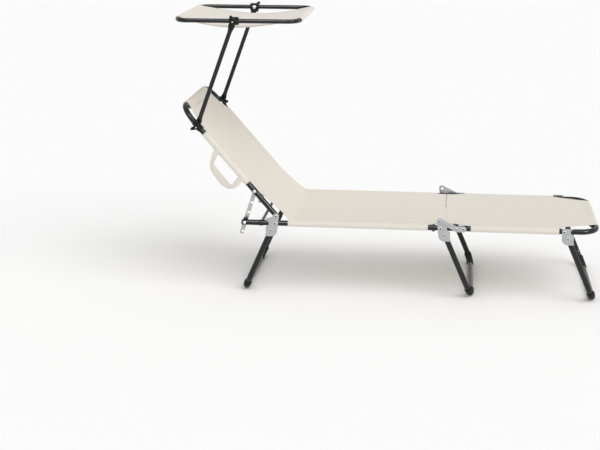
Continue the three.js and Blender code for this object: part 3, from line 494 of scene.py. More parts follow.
# %% Rows of stitches
def stitches(line, normal, pitch=5.5 * mm, length=3.6 * mm, thick=0.45 * mm, lift=0.75 * mm):
    """Capsules along a line: centre + u * way + v * side + w * normal, for the capsule's points
    (u, v, w), one every pitch."""
    run = run_along(line)
    at = np.arange(pitch / 2, run[-1], pitch)
    way = unit(read_at(at + 1 * mm, run, line) - read_at(at - 1 * mm, run, line))
    up = read_at(at, run, normal)
    up = unit(up - (up * way).sum(1)[:, None] * way)
    place = read_at(at, run, line) + lift * up
    u = np.array([-0.5, -0.4, 0, 0.4, 0.5])[:, None] * length
    r = np.array([0.25, 0.8, 1, 0.8, 0.25])[:, None] * thick
    arch = np.array([-0.5, 0.1, 0.35, 0.1, -0.5])[:, None] * thick
    rows, sides = len(u), 6
    a = np.linspace(0, 2 * np.pi, sides, endpoint=False)
    shape = np.stack(np.broadcast_arrays(u, r * np.cos(a), arch + r * np.sin(a)), -1).reshape(-1, 3)
    points = place[:, None, :] + shape @ np.stack([way, np.cross(up, way), up], 1)
    quads = np.array(grid_faces(rows, sides, caps=False))
    corner = np.arange(sides)
    ends = np.array([-corner % sides, corner + (rows - 1) * sides])
    shift = (np.arange(len(at)) * rows * sides)[:, None, None]
    faces = (quads + shift).reshape(-1, 4).tolist() + (ends + shift).reshape(-1, sides).tolist()
    return mesh_piece("thread", points, faces)


# %% Back and seat
seat_level, level = seat_z + tube_r + cloth_gap, tube_r + cloth_gap
sleeve_low, sleeve_high = 174 * mm, 442 * mm
sleeve_x = plate_x + 48.5 * mm
lift_x = plate_x + 59.5 * mm  # where the cloth leaves the seat's tubes
back_lift = 115 * mm  # and where it meets the back's, from the pivot
bar_half = 195.5 * mm
spine = [on_back(back_length, level), on_back(back_lift, level),
         np.array([lift_x, 0, seat_level]), np.array([fold_x - 0.6 * mm, 0, seat_level])]
at, line = fillet_line(spine, 40 * mm, 6 * mm)
station = {"high": back_length - sleeve_high, "low": back_length - sleeve_low,
           "chord": float(np.interp(sleeve_x, line[:, 0], at))}
seat_stop = at[-1] - 64 * mm
cut_shares = np.array([[0, 0], [0.05, 0.27], [0.38, 0.58], [0.71, 0.82], [0.9, 0.93], [1, 1]])
notch_shares = np.array([[0, 0], [0.03, 0.4], [0.1, 0.8], [0.18, 0.97], [0.27, 1], [0.4, 0.96],
                         [0.5, 0.82], [0.6, 0.62], [0.7, 0.42], [0.8, 0.25], [0.9, 0.1], [1, 0]])


def eased(share, table):
    """A table of (place, amount) read at share, with its corners rounded by averaging over a
    window a twentieth of its length wide."""
    near = np.linspace(-0.025, 0.025, 7)
    return np.mean([np.interp(np.clip(share + d, 0, 1), table[:, 0], table[:, 1]) for d in near], 0)


corner = np.clip((station["high"] - at) / station["high"], 0, 1)
notch = np.clip((station["chord"] - at) / (station["chord"] - station["low"]), 0, 1)
front = np.clip((at - seat_stop) / (at[-1] - seat_stop), 0, 1)
half = (side_y - (side_y - bar_half) * eased(corner, cut_shares) * smooth_step(corner / 0.03)
        - 17 * mm * eased(notch, notch_shares) * ((notch > 0) & (notch < 1))
        - 26 * mm * smooth_step(front * 1.4))
sag = (4 + 11 * smooth_step(at / (0.2 * at[-1]))) * mm * smooth_step(at / 0.02)


def back_folds(u, t):
    """Soft unevenness: slow waves along the cloth that die out at its edges, finer ones that
    run in from the sleeves' ends where the cloth is pulled, and a droop of the free edges
    between sleeve and head bar."""
    calm = (1 - t**2) * smooth_step(u / 0.05)
    slow = 1.1 * np.sin(9 * u + 1.3) * np.cos(3.1 * t + 0.4) + 0.7 * np.sin(17 * u - 2 * t + 0.5)
    pull = np.exp(-((u - station["chord"]) / 0.09) ** 2) * np.sin(26 * t + 2.0) * 0.35
    drawn = np.exp(-((u - station["high"]) / 0.05) ** 2) * np.sin(16 * t) * 0.6
    droop = 5 * np.abs(t) ** 3 * np.sin(np.pi * np.clip((station["high"] - u) / station["high"], 0, 1))
    return ((slow + pull + drawn) * calm + droop) * mm


def stations_between(low, high):
    """The numbers of the first and last station from low to high along the cloth."""
    return int(np.searchsorted(at, low)), int(np.searchsorted(at, high)) - 1


sleeve_rows = [stations_between(station["high"], station["low"]),
               stations_between(station["chord"], seat_stop)]
body_cloth, sheet, normal, cut_area = stretch("body_cloth", at, line, half, sag, None, sleeve_rows,
                                              ("first",), back_folds, 96)
hinge_from, hinge_to = np.array([sleeve_x, 0, seat_level]), on_back(30 * mm, 20 * mm)


def over_hinge(piece):
    """Bakes the piece's placement into its points; the cloth is put on no moving body."""
    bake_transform(piece)
    return piece


over_hinge(body_cloth)
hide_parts("seat_sling", "back_sling")

# %% Foot section's cloth
foot_level = foot_z + tube_r + cloth_gap
foot_start = fold_x + 0.6 * mm
foot_at_, foot_line = fillet_line([np.array([foot_start, 0, foot_level]),
                                   np.array([foot_bar_x, 0, foot_level])], 40 * mm, 6 * mm)
near_end = fold_x + 98 * mm - foot_start
far_end = foot_bar_x - 146 * mm - foot_start
front = np.clip((near_end - foot_at_) / near_end, 0, 1)
corner = np.clip((foot_at_ - far_end) / (foot_at_[-1] - far_end), 0, 1)
half = (side_y - 26 * mm * smooth_step(front * 1.4)
        - (side_y - bar_half) * eased(corner, cut_shares) * smooth_step(corner / 0.03))
sag = ((15 - 11 * smooth_step(foot_at_ / foot_at_[-1])) * mm
       * smooth_step((foot_at_[-1] - foot_at_) / 0.02))


def foot_folds(u, t):
    """The same slow waves as on the seat, a little lower."""
    waves = 0.9 * np.sin(11 * u + 0.3) * np.cos(2.7 * t) + 0.5 * np.sin(19 * u + 2 * t)
    return waves * (1 - t**2) * smooth_step((foot_at_[-1] - u) / 0.05) * mm


rows = [(int(np.searchsorted(foot_at_, near_end)), int(np.searchsorted(foot_at_, far_end)) - 1)]
foot_cloth, foot_sheet, foot_normal, foot_area = stretch(
    "foot_cloth", foot_at_, foot_line, half, sag, "foot_section", rows, ("last",), foot_folds, 96)
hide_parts("foot_sling")

# %% Canopy cloth
inner = canopy_r + cloth_gap
left = mid - span / 2 * X + inner * Z
can_at = np.linspace(0, span, 81)
share = can_at / span
can_line = left + can_at[:, None] * X - (32 * mm * (1 - (2 * share - 1) ** 2))[:, None] * Z
edge = np.minimum(can_at, span - can_at)
full, narrow = side_y - canopy_r - 8 * mm, side_y - canopy_bend - 5 * mm
half = narrow + (full - narrow) * smooth_step(edge / (62 * mm))


def canopy_folds(u, t):
    """The free edges hang a little lower than the middle, and slow waves cross the cloth."""
    calm = smooth_step(np.minimum(u, span - u) / 0.06)
    hang = 2.5 * np.abs(t) ** 4
    return (hang + 1.2 * np.sin(14 * u + 2.2 * t + 0.7) + 0.7 * np.sin(9 * t + 20 * u)) * calm * mm


canopy_cloth, can_sheet, can_normal, can_area = stretch(
    "canopy_cloth", can_at, can_line, half, np.zeros_like(can_at), "canopy", (), ("first", "last"),
    canopy_folds, 80, ring=inner, stitch=26 * mm)
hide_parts("canopy_sling")

# %% [markdown]
# ### Hems and seams
# A free edge is folded over and sewn, so it shows as a thin rolled bead, with a row of threads
# a little inside it. The threads beside a sleeve hold the folded edge from below.

# %% Hems and seams
def bead(name, edge_line, normal, radius=1.25 * mm):
    """A thin round bead along an edge: p + r * (cos(a) * side + sin(a) * normal)."""
    way = unit(np.gradient(edge_line, axis=0))
    up = unit(normal - (normal * way).sum(1)[:, None] * way)
    points = rings(edge_line, radius, np.cross(up, way), up, 10)
    return outward(mesh_piece(name, points, grid_faces(len(edge_line), 10)))


def inner_line(sheet, inset, rows, side, half_at):
    """The line on a sheet that lies inset from one of its edges, at the given rows."""
    columns = sheet.shape[1] - 1
    t = side * (1 - inset / half_at[rows])
    c = (t + 1) / 2 * columns
    low = np.clip(c.astype(int), 0, columns - 1)
    part = (c - low)[:, None]
    return sheet[rows, low] * (1 - part) + sheet[rows, low + 1] * part


def trim(name, sheet, normal, sleeves, bars, blend=None, body=None, inset=29 * mm):
    """All the beads and stitch rows of one cloth, as two pieces."""
    count, half_at = len(sheet), np.linalg.norm(sheet[:, -1] - sheet[:, 0], axis=1) / 2
    sleeved = np.zeros(count, bool)
    for first, last in sleeves:
        sleeved[first:last + 1] = True
    marks = np.flatnonzero(np.diff(np.concatenate([[True], sleeved, [True]]).astype(int)))
    beads, threads = [], []
    for side in (-1, 1):
        for low, high in zip(marks[::2], marks[1::2]):
            rows = np.arange(max(low - 1, 0), min(high + 1, count))
            if len(rows) > 3:
                beads.append(bead("edge", sheet[rows, 0 if side < 0 else -1], normal[rows]))
                rows = rows[2:-2]
                threads.append(stitches(inner_line(sheet, 9 * mm, rows, side, half_at), normal[rows]))
        for first, last in sleeves:
            rows = np.arange(first, last + 1)
            for place in (inset, inset + 6 * mm):
                threads.append(stitches(inner_line(sheet, place, rows, side, half_at), normal[rows]))
    for which in bars:
        row = 5 if which == "first" else count - 6
        up = np.tile(normal[row], (sheet.shape[1], 1))
        threads.append(stitches(sheet[row, 1:-1], up[1:-1]))
    made = [joined(f"{name}_hem", beads), joined(f"{name}_thread", threads)]
    for piece in made:
        piece.data.polygons.foreach_set("use_smooth", np.ones(len(piece.data.polygons), bool))
        blend(piece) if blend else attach(piece, body)
    return made


hem_body, thread_body = trim("body", sheet, normal, sleeve_rows, ("first",), blend=over_hinge)
hem_foot, thread_foot = trim("foot", foot_sheet, foot_normal, rows, ("last",), body="foot_section")
hem_canopy, thread_canopy = trim("canopy", can_sheet, can_normal, (), ("first", "last"), body="canopy")
thread_pieces = [thread_body, thread_foot, thread_canopy]

# %% [markdown]
# ### Carry handle
# A loop of woven band is sewn to the near sleeve of the back and hangs below it. The band lies
# along the frame's side and is folded over twice. At a fold its outer edge is cut off by the
# crease and its inner edge turns in one point. Between the upper seam and the first fold the band
# is twisted out of the frame's plane, which makes it look narrower from the side.

# %% Carry handle
handle_y = -(side_y + tube_r + 3.1 * mm)
# Outer edge (along the back, below the tube's centre), inner edge, the outer edge's twist; in mm.
# Typed from 21 points that were picked on the photographed band (8 on its outer edge, 5 on its inner edge,
# 8 along its middle) and turned into mm through the camera. The rows between them and the twist were set
# one by one.
band_rows = np.array([
    [367, -2, 344, -2, 0], [364, 12, 342, 9, 2], [356, 28, 336.5, 22, 6],
    [346, 43.5, 331.5, 34, 9], [336, 56.5, 327.5, 43, 8], [329, 64, 325, 49.2, 6],
    [328.6, 64.6, 325, 49.3, 3.6], [319, 73.5, 324.4, 50, 2.4], [304, 78.5, 316, 51, 1],
    [292, 80.5, 300, 51.8, 0], [284, 81.5, 288, 52.2, 0], [271, 83, 275, 52.8, 0],
    [259, 83.6, 262, 53.4, 0], [247, 83.8, 250, 53.8, 0], [235, 82.8, 238, 53.8, 0],
    [222, 79.5, 226, 53.2, 0.6], [209, 72.5, 215, 52.4, 1.6], [208.4, 72, 214, 52, 3.0],
    [198, 60, 213.4, 50, 2.4], [194, 47.5, 213.8, 45, 1.4], [193, 36, 215.5, 35, 0.8],
    [193.5, 24, 218, 23, 0.4], [194.7, 10, 220.8, 9.5, 0.2], [195.5, -2, 222, -2, 0]]) * mm
outer_edge, inner_edge, twist = band_rows[:, :2], band_rows[:, 2:4], band_rows[:, 4]
loop, across = (outer_edge + inner_edge) / 2, (outer_edge - inner_edge) / 2
face = [[-0.97, -0.9], [-0.45, -1.0], [0, -1.0], [0.45, -1.0], [0.97, -0.9]]
section = np.array([[-1, -0.5], *face, [1, -0.5], [1, 0.5], *([s, -h] for s, h in face[::-1]), [-1, 0.5]])
flat = loop[:, None, :] + section[None, :, :1] * across[:, None, :]
run = run_along(loop)
stand_off = section[None, :, 1] * mm - twist[:, None] * (1 + section[None, :, 0]) / 2
points = on_back(flat[..., 0], -flat[..., 1], handle_y + stand_off)
uv = np.stack([np.broadcast_to(run[:, None], flat.shape[:2]),
               np.broadcast_to(section[None, :, 0] * 13.2 * mm, flat.shape[:2])], -1)
handle = outward(mesh_piece("carry_band", points, grid_faces(len(loop), len(section)), "backrest",
                            sharp=60, uv=uv))
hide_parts("carry_handle")

# %% [markdown]
# ## Knobs, clamps and rivets
# A three-winged knob is one surface: a ring of points whose radius swells three times round the
# turn, carried up a profile that rounds its upper and lower edges.

# %% Knobs
plastic_pieces = []
steel_pieces = []


def knob(name, place, side, body, turn, replaces):
    """Wings: radius = hub + (tip - hub) * ((1 + cos 3a) / 2)^2.2, drawn in by the profile. The
    collar and the raised hub are rings of the same grid with no swell."""
    sides = 96
    a = np.linspace(0, 2 * np.pi, sides, endpoint=False)
    swell = ((1 + np.cos(3 * a)) / 2) ** 2.2
    hub, tip = 10.5 * mm, 26 * mm
    # (height above the arm, share of the wings' swell, radius of the round part)
    rows = np.array([
        [0, 0, 0], [0, 0, 9.2], [0.6, 0, 9.8], [5.0, 0, 10.2], [5.5, 0.7, 10.4], [5.9, 0.93, 10.5],
        [7.0, 1, 10.5], [12.2, 1, 10.5], [13.4, 0.94, 10.5], [14.0, 0.8, 10.4], [14.3, 0.5, 10.3],
        [14.4, 0, 10.2], [17.6, 0, 9.9], [18.4, 0, 9.2], [18.5, 0, 6.2], [17.6, 0, 5.8], [17.5, 0, 0.0]])
    high, share, base = rows[:, 0] * mm, rows[:, 1], rows[:, 2] * mm
    r = base[:, None] + (share[:, None] * swell[None, :]) * (tip - hub)
    around = np.cos(turn + a)[None, :, None] * X + np.sin(turn + a)[None, :, None] * Z
    points = place + r[..., None] * around + side * high[:, None, None] * Y
    faces = grid_faces(len(rows), sides, caps=False)
    piece = outward(mesh_piece(name, points, faces, body, sharp=45))
    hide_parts(replaces)
    return piece


def turned(name, place, side, profile, body, count=36):
    """A profile of (radius, height) rows turned round the Y line through place."""
    profile = np.asarray(profile, float) * mm
    points = rings(place + side * profile[:, 1:] * Y, profile[:, 0], X, Z, count)
    faces = grid_faces(len(profile), count, caps=False)
    return outward(mesh_piece(name, points, faces, body, sharp=35))


arm_outer = arm_y + arm_flat / 2 + slack
knob_turns = {"clamp_far": 122, "clamp_near": 80, "hinge_far": 46, "hinge_near": 111}  # degrees
shells = {"clamp": tube_r + 3.6 * mm, "hinge": canopy_r + 7.9 * mm}  # the blocks round the tubes
for side, word in ((1, "far"), (-1, "near")):
    for spot, base, body in ((clamp_at, "clamp", "backrest"), (tilt_at, "hinge", "canopy")):
        place = spot + side * arm_outer * Y
        turn = np.radians(knob_turns[f"{base}_{word}"])
        plastic_pieces.append(knob(f"{base}_wing_knob_{word}", place, side, f"{base}_knob_{word}", turn,
                                   f"{base}_knob_{word}"))
        inside = -(arm_outer - (side_y - shells[base])) / mm
        head = [[0, inside - 3.6], [3.5, inside - 3.3], [6.3, inside - 1.9], [7.5, inside], [3.3, inside]]
        shank = [[3.3, 19.2], [2.9, 20.0], [0, 20.1]]
        bolt = turned(f"{base}_carriage_bolt_{word}", place, side, head + shank, body)
        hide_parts(f"{base}_bolt_{word}")
        steel_pieces.append(bolt)

# %% Clamp blocks
def clamp_block(name, place, side, way, out, radius, thick, face_wall, length, grooves, body, replaces):
    """A moulded block round a tube: its section is a circle with a flat toward the arm, and it
    shrinks by 1.2 mm in each of its grooves. A bore follows the tube inside."""
    sides = 64
    a = np.linspace(0, 2 * np.pi, sides, endpoint=False)
    face, bore = radius + slack + face_wall, radius + 0.2 * mm
    steps = np.linspace(-0.5, 0.5, 16 * grooves + 1)
    groove = 1.2 * mm * (0.5 + 0.5 * np.cos(steps * 2 * np.pi * grooves)) ** 3
    ends = 0.8 * mm * smooth_step((np.abs(steps) - 0.47) / 0.03)
    r = radius + thick - groove - ends
    y, z = r[:, None] * np.cos(a), r[:, None] * np.sin(a)
    flat_part = np.clip((np.cos(a) - 0.7) / 0.12, 0, 1)[None, :]
    y = y * (1 - flat_part) + face * flat_part
    along = (steps * length)[:, None]
    shell = np.stack(np.broadcast_arrays(along, y, z), -1)
    core = np.stack(np.broadcast_arrays(along, bore * np.cos(a), bore * np.sin(a)), -1)
    grid = np.concatenate([shell, core[::-1]])
    points = place + grid[..., :1] * way + side * grid[..., 1:2] * Y + grid[..., 2:] * out
    piece = outward(mesh_piece(name, points, ring_faces(len(grid), sides), body, sharp=35))
    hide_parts(replaces)
    return piece


for side, word in ((1, "far"), (-1, "near")):
    for name, spot, axes, sizes, body, node_name in (
            ("arm_clamp", clamp_at, (up_back, off_back),
             (tube_r, 3.3 * mm, 3 * mm, 42 * mm, 7), "backrest", "clamp_block"),
            ("tilt_clamp", tilt_at, (X, Z),
             (canopy_r, 7.6 * mm, 5.5 * mm, 35 * mm, 3), "canopy", "hinge_block")):
        plastic_pieces.append(clamp_block(f"{name}_{word}", spot + side * side_y * Y, side, *axes,
                                          *sizes, body, f"{node_name}_{word}"))
print("knobs, clamps and bolts:", len(plastic_pieces) + len(steel_pieces))

# %% [markdown]
# ### Pressed plates and the ratchet
# Hinge plates, brackets, ears and notched bars are all an outline cut from sheet steel. The
# outline is straight runs, arcs and one smooth shoulder in two axes; the sheet is the outline at
# a few levels of the third axis, moved in by edge * (1 - cos a) where the rim is rounded.

# %% Outline to sheet
def arc(x, z, r, start, end, count=20):
    """Points round (x, z) from one angle to another, in degrees."""
    a = np.radians(np.linspace(start, end, count))
    return np.stack([x + r * np.cos(a), z + r * np.sin(a)], -1)


def pressed(name, outline, place, axes, low, high, body, edge=0.5 * mm):
    """Rings of an outline from low to high along the third axis. Each corner moves in along the
    sum of its two edges' normals, divided by 1 + their product, so both edges move by as much."""
    line = np.concatenate([np.atleast_2d(part) for part in outline]) * mm
    line = line[np.linalg.norm(line - np.roll(line, 1, axis=0), axis=1) > 1e-6]
    following = np.roll(line, -1, axis=0)
    ahead = unit(following - line)
    turning = np.sign((line[:, 0] * following[:, 1] - line[:, 1] * following[:, 0]).sum())
    inward = turning * np.stack([-ahead[:, 1], ahead[:, 0]], -1)
    before = np.roll(inward, 1, axis=0)
    inward = (inward + before) / (1 + (inward * before).sum(1))[:, None]
    a = np.radians([90, 60, 30, 0])
    rise = np.concatenate([low + edge * (1 - np.sin(a)), high - edge * (1 - np.sin(a[::-1]))])
    inset = edge * (1 - np.cos(np.concatenate([a, a[::-1]])))
    flat = line[None] + inset[:, None, None] * inward[None]
    points = (place + flat[..., :1] * axes[0] + flat[..., 1:] * axes[1]
              + rise[:, None, None] * axes[2])
    return outward(mesh_piece(name, points, grid_faces(len(rise), len(line)), body, sharp=32))


# Sizes in mm from a plate's rivet: the pivot above it, the leg's rivet below it
flank, skirt_x, leg_x, leg_z = -37.8, 8.6, -16.4, -27.8
top_x, top_z, lobe_r = pivot_ahead / mm, pivot_rise / mm, 12.5
t = np.linspace(0, 1, 12)[:, None]
shoulder_from, shoulder_pull, shoulder_to = np.array([[flank + 1.5, 22.5], [-21.1, 24.25], [-8.6, top_z]])
shoulder_line = (1 - t) ** 2 * shoulder_from + 2 * t * (1 - t) * shoulder_pull + t**2 * shoulder_to
skirt = [[skirt_x, leg_z], arc(leg_x, leg_z, 25, 0, -90), [flank, leg_z - 25]]
notch_arc = arc(flank, 0, 12.5, -90, 90)
hinge_outline = [notch_arc, shoulder_line, arc(top_x, top_z, lobe_r, 180, 0), *skirt]
bracket_outline = [notch_arc, [flank, 14], [skirt_x, 14], *skirt]
sin_lean, cos_lean = np.sin(lean), np.cos(lean)
stop_outline = [[leg_x - sin_lean * d - cos_lean * o, leg_z - cos_lean * d + sin_lean * o]
                for d, o in ((17, 11.4), (31, 11.4), (31, 13.7), (17, 13.7))]


def mirrored(outline):
    """The same outline facing the foot end."""
    return [np.atleast_2d(part) * [-1, 1] for part in outline]


# A hollow rivet's head: a rolled rim round a dark hole. A solid one: a low dome.
rim_rows = [[0, -3.5], [3.0, -3.5], [3.2, 1.3], [3.6, 1.9], [4.3, 2.0], [5.2, 1.6], [5.8, 0.8], [5.9, 0.0]]
dome_rows = [[0, 2.4], [1.6, 2.3], [3.2, 1.9], [4.7, 1.2], [5.8, 0.5], [6.2, 0.0]]


def rivet(name, place, side, inner, outer, body, head):
    """A head at both ends of a shank, turned in one go round the Y line through place."""
    top = [[r, outer / mm + h] for r, h in head]
    back = [[r, inner / mm - h] for r, h in dome_rows]
    return turned(name, place, side, back + [[4, inner / mm], [4, outer / mm]] + top[::-1], body, 40)


plate_t = 2.5 * mm
plate_in = side_y + tube_r + slack
plate_out = plate_in + plate_t
ear_in = plate_out + slack
ear_out = ear_in + plate_t
tube_in, tube_face = side_y - tube_r - slack, side_y + tube_r + slack
front_plate_x = plate_x + 665 * mm
bracket_x = foot_bar_x - 130 * mm
rear_base, front_base = np.array([plate_x, 0, seat_z]), np.array([front_plate_x, 0, seat_z])
end_base = np.array([bracket_x, 0, foot_z])
plates, zinc_bars, rivet_pieces, hole_shade_discs = [], [], [], []
# Rows of the dark discs sunk in the hollow rivets' holes: painted shade for the dark inside of each hole.
hole_shade_rows = [[0, 0.5], [1.9, 0.4], [3.15, 0.0], [3.15, -3.0], [0, -3.0]]


def hole_shade_disc(place, side, outer):
    """A dark disc set in a hollow rivet's hole, inside its bright rim: painted shade for the dark inside
    of the hole, shaped like a rivet's broken stem.
    """
    return turned("m", place, side, [[r, outer / mm + h] for r, h in hole_shade_rows], None, 20)


def spot_at(base, x, z):
    """The place x and z millimetres from a base."""
    return base + x * mm * X + z * mm * Z


def fasten(name, word, spots, side, body, extra=()):
    """Hollow rivets at spots of (place, outer face), and dark discs of painted shade in their holes, as
    two pieces.
    """
    rivets = [rivet("r", place, side, tube_in, out, None, rim_rows) for place, out in spots]
    rivet_pieces.append(joined(f"{name}_rivets_{word}", [*rivets, *extra], body))
    # Dark discs in the rivets' holes, as painted shade.
    shade_discs = [hole_shade_disc(place, side, out) for place, out in spots]
    hole_shade_discs.append(joined(f"{name}_stems_{word}", shade_discs, body))


for side, word in ((1, "far"), (-1, "near")):
    axes = (X, Z, side * Y)
    for kind, base, facing, outline, body, tops in (
            ("rear_plate", rear_base, 1, hinge_outline, "seat", [plate_out]),
            ("front_plate", front_base, -1, hinge_outline, "seat", [ear_out + slack]),
            ("leg_bracket", end_base, -1, bracket_outline, "foot_section", [])):
        plate_line, stop_line = (mirrored(o) if facing < 0 else o for o in (outline, stop_outline))
        parts = [pressed("p", plate_line, base, axes, plate_in, plate_out, None),
                 pressed("p", stop_line, base, axes, plate_in - 15 * mm, plate_out - 0.4 * mm, None)]
        if kind == "front_plate":
            inside = 0.02 * mm  # the second outline's faces lie this far inside the first's
            parts.append(pressed("p", mirrored(bracket_outline), base, axes, plate_in + inside,
                                 plate_out - inside, None))
        plate = joined(f"{kind}_pressing_{word}", parts, body)
        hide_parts(f"{kind}_{word}")
        plates.append(plate)
        spots = [(0, 0, plate_out), (leg_x, leg_z, plate_out)] + [(top_x, top_z, out) for out in tops]
        fasten(kind, word, [(spot_at(base, facing * x, z), out) for x, z, out in spots], side, body)

    # The ear of the foot section, from the fold's pivot
    ear_to, low, ear_r = (fold_x - foot_at[0]) / mm + 74, -pivot_rise / mm, 12
    ear_from = ear_to - 28
    ear_line = [arc(0, 0, lobe_r, 180, 45), [ear_from, low + ear_r],
                arc(ear_to, low, ear_r, 90, -90), [ear_from, low - ear_r]]
    ear = pressed(f"fold_ear_{word}", ear_line, foot_at, axes, ear_in, ear_out, "foot_section")
    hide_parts(f"foot_ear_{word}")
    plates.append(ear)
    spots = [(spot_at(foot_at, x, low), ear_out) for x in (ear_from, ear_to)]
    washer = [[0, plate_in / mm], [6.8, plate_in / mm], [6.8, ear_in / mm], [0, ear_in / mm]]
    washers = [turned("w", place, side, washer, None) for place, _ in spots]
    fasten("fold_ear", word, spots, side, "foot_section", washers)

    # The notched bar hangs from its pivot to the pin, with its notches toward the foot end
    pin_at = np.array([plate_x - 125 * mm, 0, seat_z])
    up = unit((bar_at - pin_at) * [1, 0, 1])
    right = np.cross(Y, up)
    bar_r, first_notch, notch_pitch = 8.25, 53, 42
    notches = []
    for k in range(4):
        z = -(first_notch + notch_pitch * k)
        notches += [[[bar_r, z + 5]], arc(1.35, z, 5, 90, 270),
                    [[5.25, z - 5], [6.75, z - 3.3], [bar_r, z - 3.3]]]
    end = z - 12
    bar_line = [arc(0, 0, bar_r, 180, 0), *notches,
                [[bar_r, end + 1.5], [6.75, end], [-6.75, end], [-bar_r, end + 1.5]]]
    bar = pressed(f"notched_bar_{word}", bar_line, bar_at * [1, 0, 1], (right, up, side * Y),
                  tube_in - 3 * mm, tube_in, f"ratchet_bar_{word}", edge=0.3 * mm)
    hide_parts(f"ratchet_bar_{word}")
    zinc_bars.append(bar)
    inner_face = (side_y - tube_r) / mm
    pin_rows = [[0, inner_face], [4, inner_face], [4, tube_face / mm]]
    pin_rows += [[r, tube_face / mm + h] for r, h in dome_rows[::-1]]
    pin = turned(f"stop_pin_{word}", pin_at, side, pin_rows, "seat", 40)
    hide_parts(f"ratchet_pin_{word}")
    swing = rivet(f"bar_swing_rivet_{word}", bar_at * [1, 0, 1], side, tube_in - 3.3 * mm, tube_face,
                  "backrest", dome_rows)
    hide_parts(f"bar_rivet_{word}")
    rivet_pieces += [pin, swing]

    # Weld collars of the zinc crossbar, and the block that guides the bar
    x = np.array([-7.5, -7.5, -7.1, -6.5, 6.5, 7.1, 7.5, 7.5, -7.5]) * mm
    r = np.array([11.3, 12.0, 12.4, 12.6, 12.6, 12.4, 12.0, 11.3, 11.3]) * mm
    centre = np.array([rear_x, side * side_y, seat_z])
    ring = rings(centre + x[:, None] * X, r, Y, Z, 48)
    faces = grid_faces(len(x), 48, caps=False)
    collar = outward(mesh_piece(f"weld_collar_{word}", ring, faces, "seat", sharp=50))
    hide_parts(f"rear_collar_{word}")
    paint_pieces.append(collar)
    slope = np.arctan2(bar_at[0] - pin_at[0], bar_at[2] - pin_at[2])
    guide_top, guide_half = 18.2, 8.15 * mm
    guide_at = np.array([pin_at[0] + guide_top * mm * np.tan(slope) / 2, side * side_y, seat_z])
    guide_line = [arc(0, 0, 11.3, 41.6, 138.4, 12),
                  [[-7.5, 16.8], [-6.1, guide_top], [6.1, guide_top], [7.5, 16.8]]]
    guide = pressed(f"bar_guide_{word}", guide_line, guide_at, (Y, Z, X), -guide_half, guide_half,
                    "seat", edge=0.8 * mm)
    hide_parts(f"ratchet_guide_{word}")
    plastic_pieces.append(guide)
print("plates, bars and rivets:", len(plates) + len(zinc_bars) + len(rivet_pieces))

# %% [markdown]
# ## Finishes
# Each finish is a few nodes on Object coordinates, in metres, so that its detail keeps its real
# size on every piece. Cloth reads its own map, which holds metres along and across the cloth.

# %% Node helpers
def finish_named(name, colour, rough, metal=0.0, **sockets):
    """A new material whose shader has these uniform values."""
    made = bpy.data.materials.new(name)
    made.use_nodes = True
    shader = made.node_tree.nodes["Principled BSDF"]
    shader.inputs["Base Color"].default_value = (*colour, 1)
    shader.inputs["Roughness"].default_value = rough
    shader.inputs["Metallic"].default_value = metal
    for socket, value in sockets.items():
        shader.inputs[socket.replace("_", " ")].default_value = value
    return made, made.node_tree, shader


def node(tree, kind, inputs=None, **settings):
    """A node with its settings, and with inputs that are numbers or other nodes' outputs."""
    made = tree.nodes.new("ShaderNode" + kind)
    for key, value in settings.items():
        setattr(made, key, value)
    for key, value in (inputs or {}).items():
        if isinstance(value, bpy.types.NodeSocket):
            tree.links.new(value, made.inputs[key])
        else:
            made.inputs[key].default_value = value
    return made


def srgb(r, g, b):
    """A colour of 0 to 255 as the screen shows it, turned to light: ((c + 0.055) / 1.055)^2.4."""
    c = np.array([r, g, b]) / 255
    return tuple(np.where(c <= 0.04045, c / 12.92, ((c + 0.055) / 1.055) ** 2.4).tolist())


def ramp(tree, factor, low, high, colour_low, colour_high):
    """A blend between two colours as the factor goes from low to high."""
    made = node(tree, "ValToRGB", {"Fac": factor})
    made.color_ramp.elements[0].position, made.color_ramp.elements[1].position = low, high
    made.color_ramp.elements[0].color = (*colour_low, 1)
    made.color_ramp.elements[1].color = (*colour_high, 1)
    return made.outputs["Color"]


def noise(tree, where, scale, detail=4.0, rough=0.5):
    """Noise with about scale features to the metre."""
    inputs = {"Vector": where, "Scale": scale, "Detail": detail, "Roughness": rough}
    return node(tree, "TexNoise", inputs).outputs["Fac"]


def bump(tree, shader, height, strength, distance):
    """A height, in shares of the distance, that tilts the shader's normal."""
    made = node(tree, "Bump", {"Height": height, "Strength": strength, "Distance": distance})
    tree.links.new(made.outputs["Normal"], shader.inputs["Normal"])


# %% Painted steel, plastic, rubber and metals
def painted(name, colour):
    """Sprayed enamel: a faint orange-peel bump, and a slow change of tone and gloss."""
    made, tree, shader = finish_named(name, colour, 0.25, 0.0, Specular_IOR_Level=0.38)
    where = node(tree, "TexCoord").outputs["Object"]
    peel = noise(tree, where, 900, 2)
    slow = noise(tree, where, 18, 3)
    tree.links.new(ramp(tree, slow, 0.3, 0.7, [c * 0.86 for c in colour], [c * 1.16 for c in colour]),
                   shader.inputs["Base Color"])
    gloss = node(tree, "MapRange", {"Value": slow, "To Min": 0.2, "To Max": 0.28})
    tree.links.new(gloss.outputs["Result"], shader.inputs["Roughness"])
    bump(tree, shader, peel, 0.12, 0.0002)
    return made


def moulded(name, colour, rough, grain):
    """Moulded plastic or rubber: a fine grain from the mould and a slightly uneven tone."""
    made, tree, shader = finish_named(name, colour, rough, Specular_IOR_Level=0.24)
    where = node(tree, "TexCoord").outputs["Object"]
    fine = noise(tree, where, grain, 3, 0.6)
    slow = noise(tree, where, 30, 2)
    tree.links.new(ramp(tree, slow, 0.35, 0.65, [c * 0.85 for c in colour], [c * 1.2 for c in colour]),
                   shader.inputs["Base Color"])
    bump(tree, shader, fine, 0.25, 0.0002)
    return made


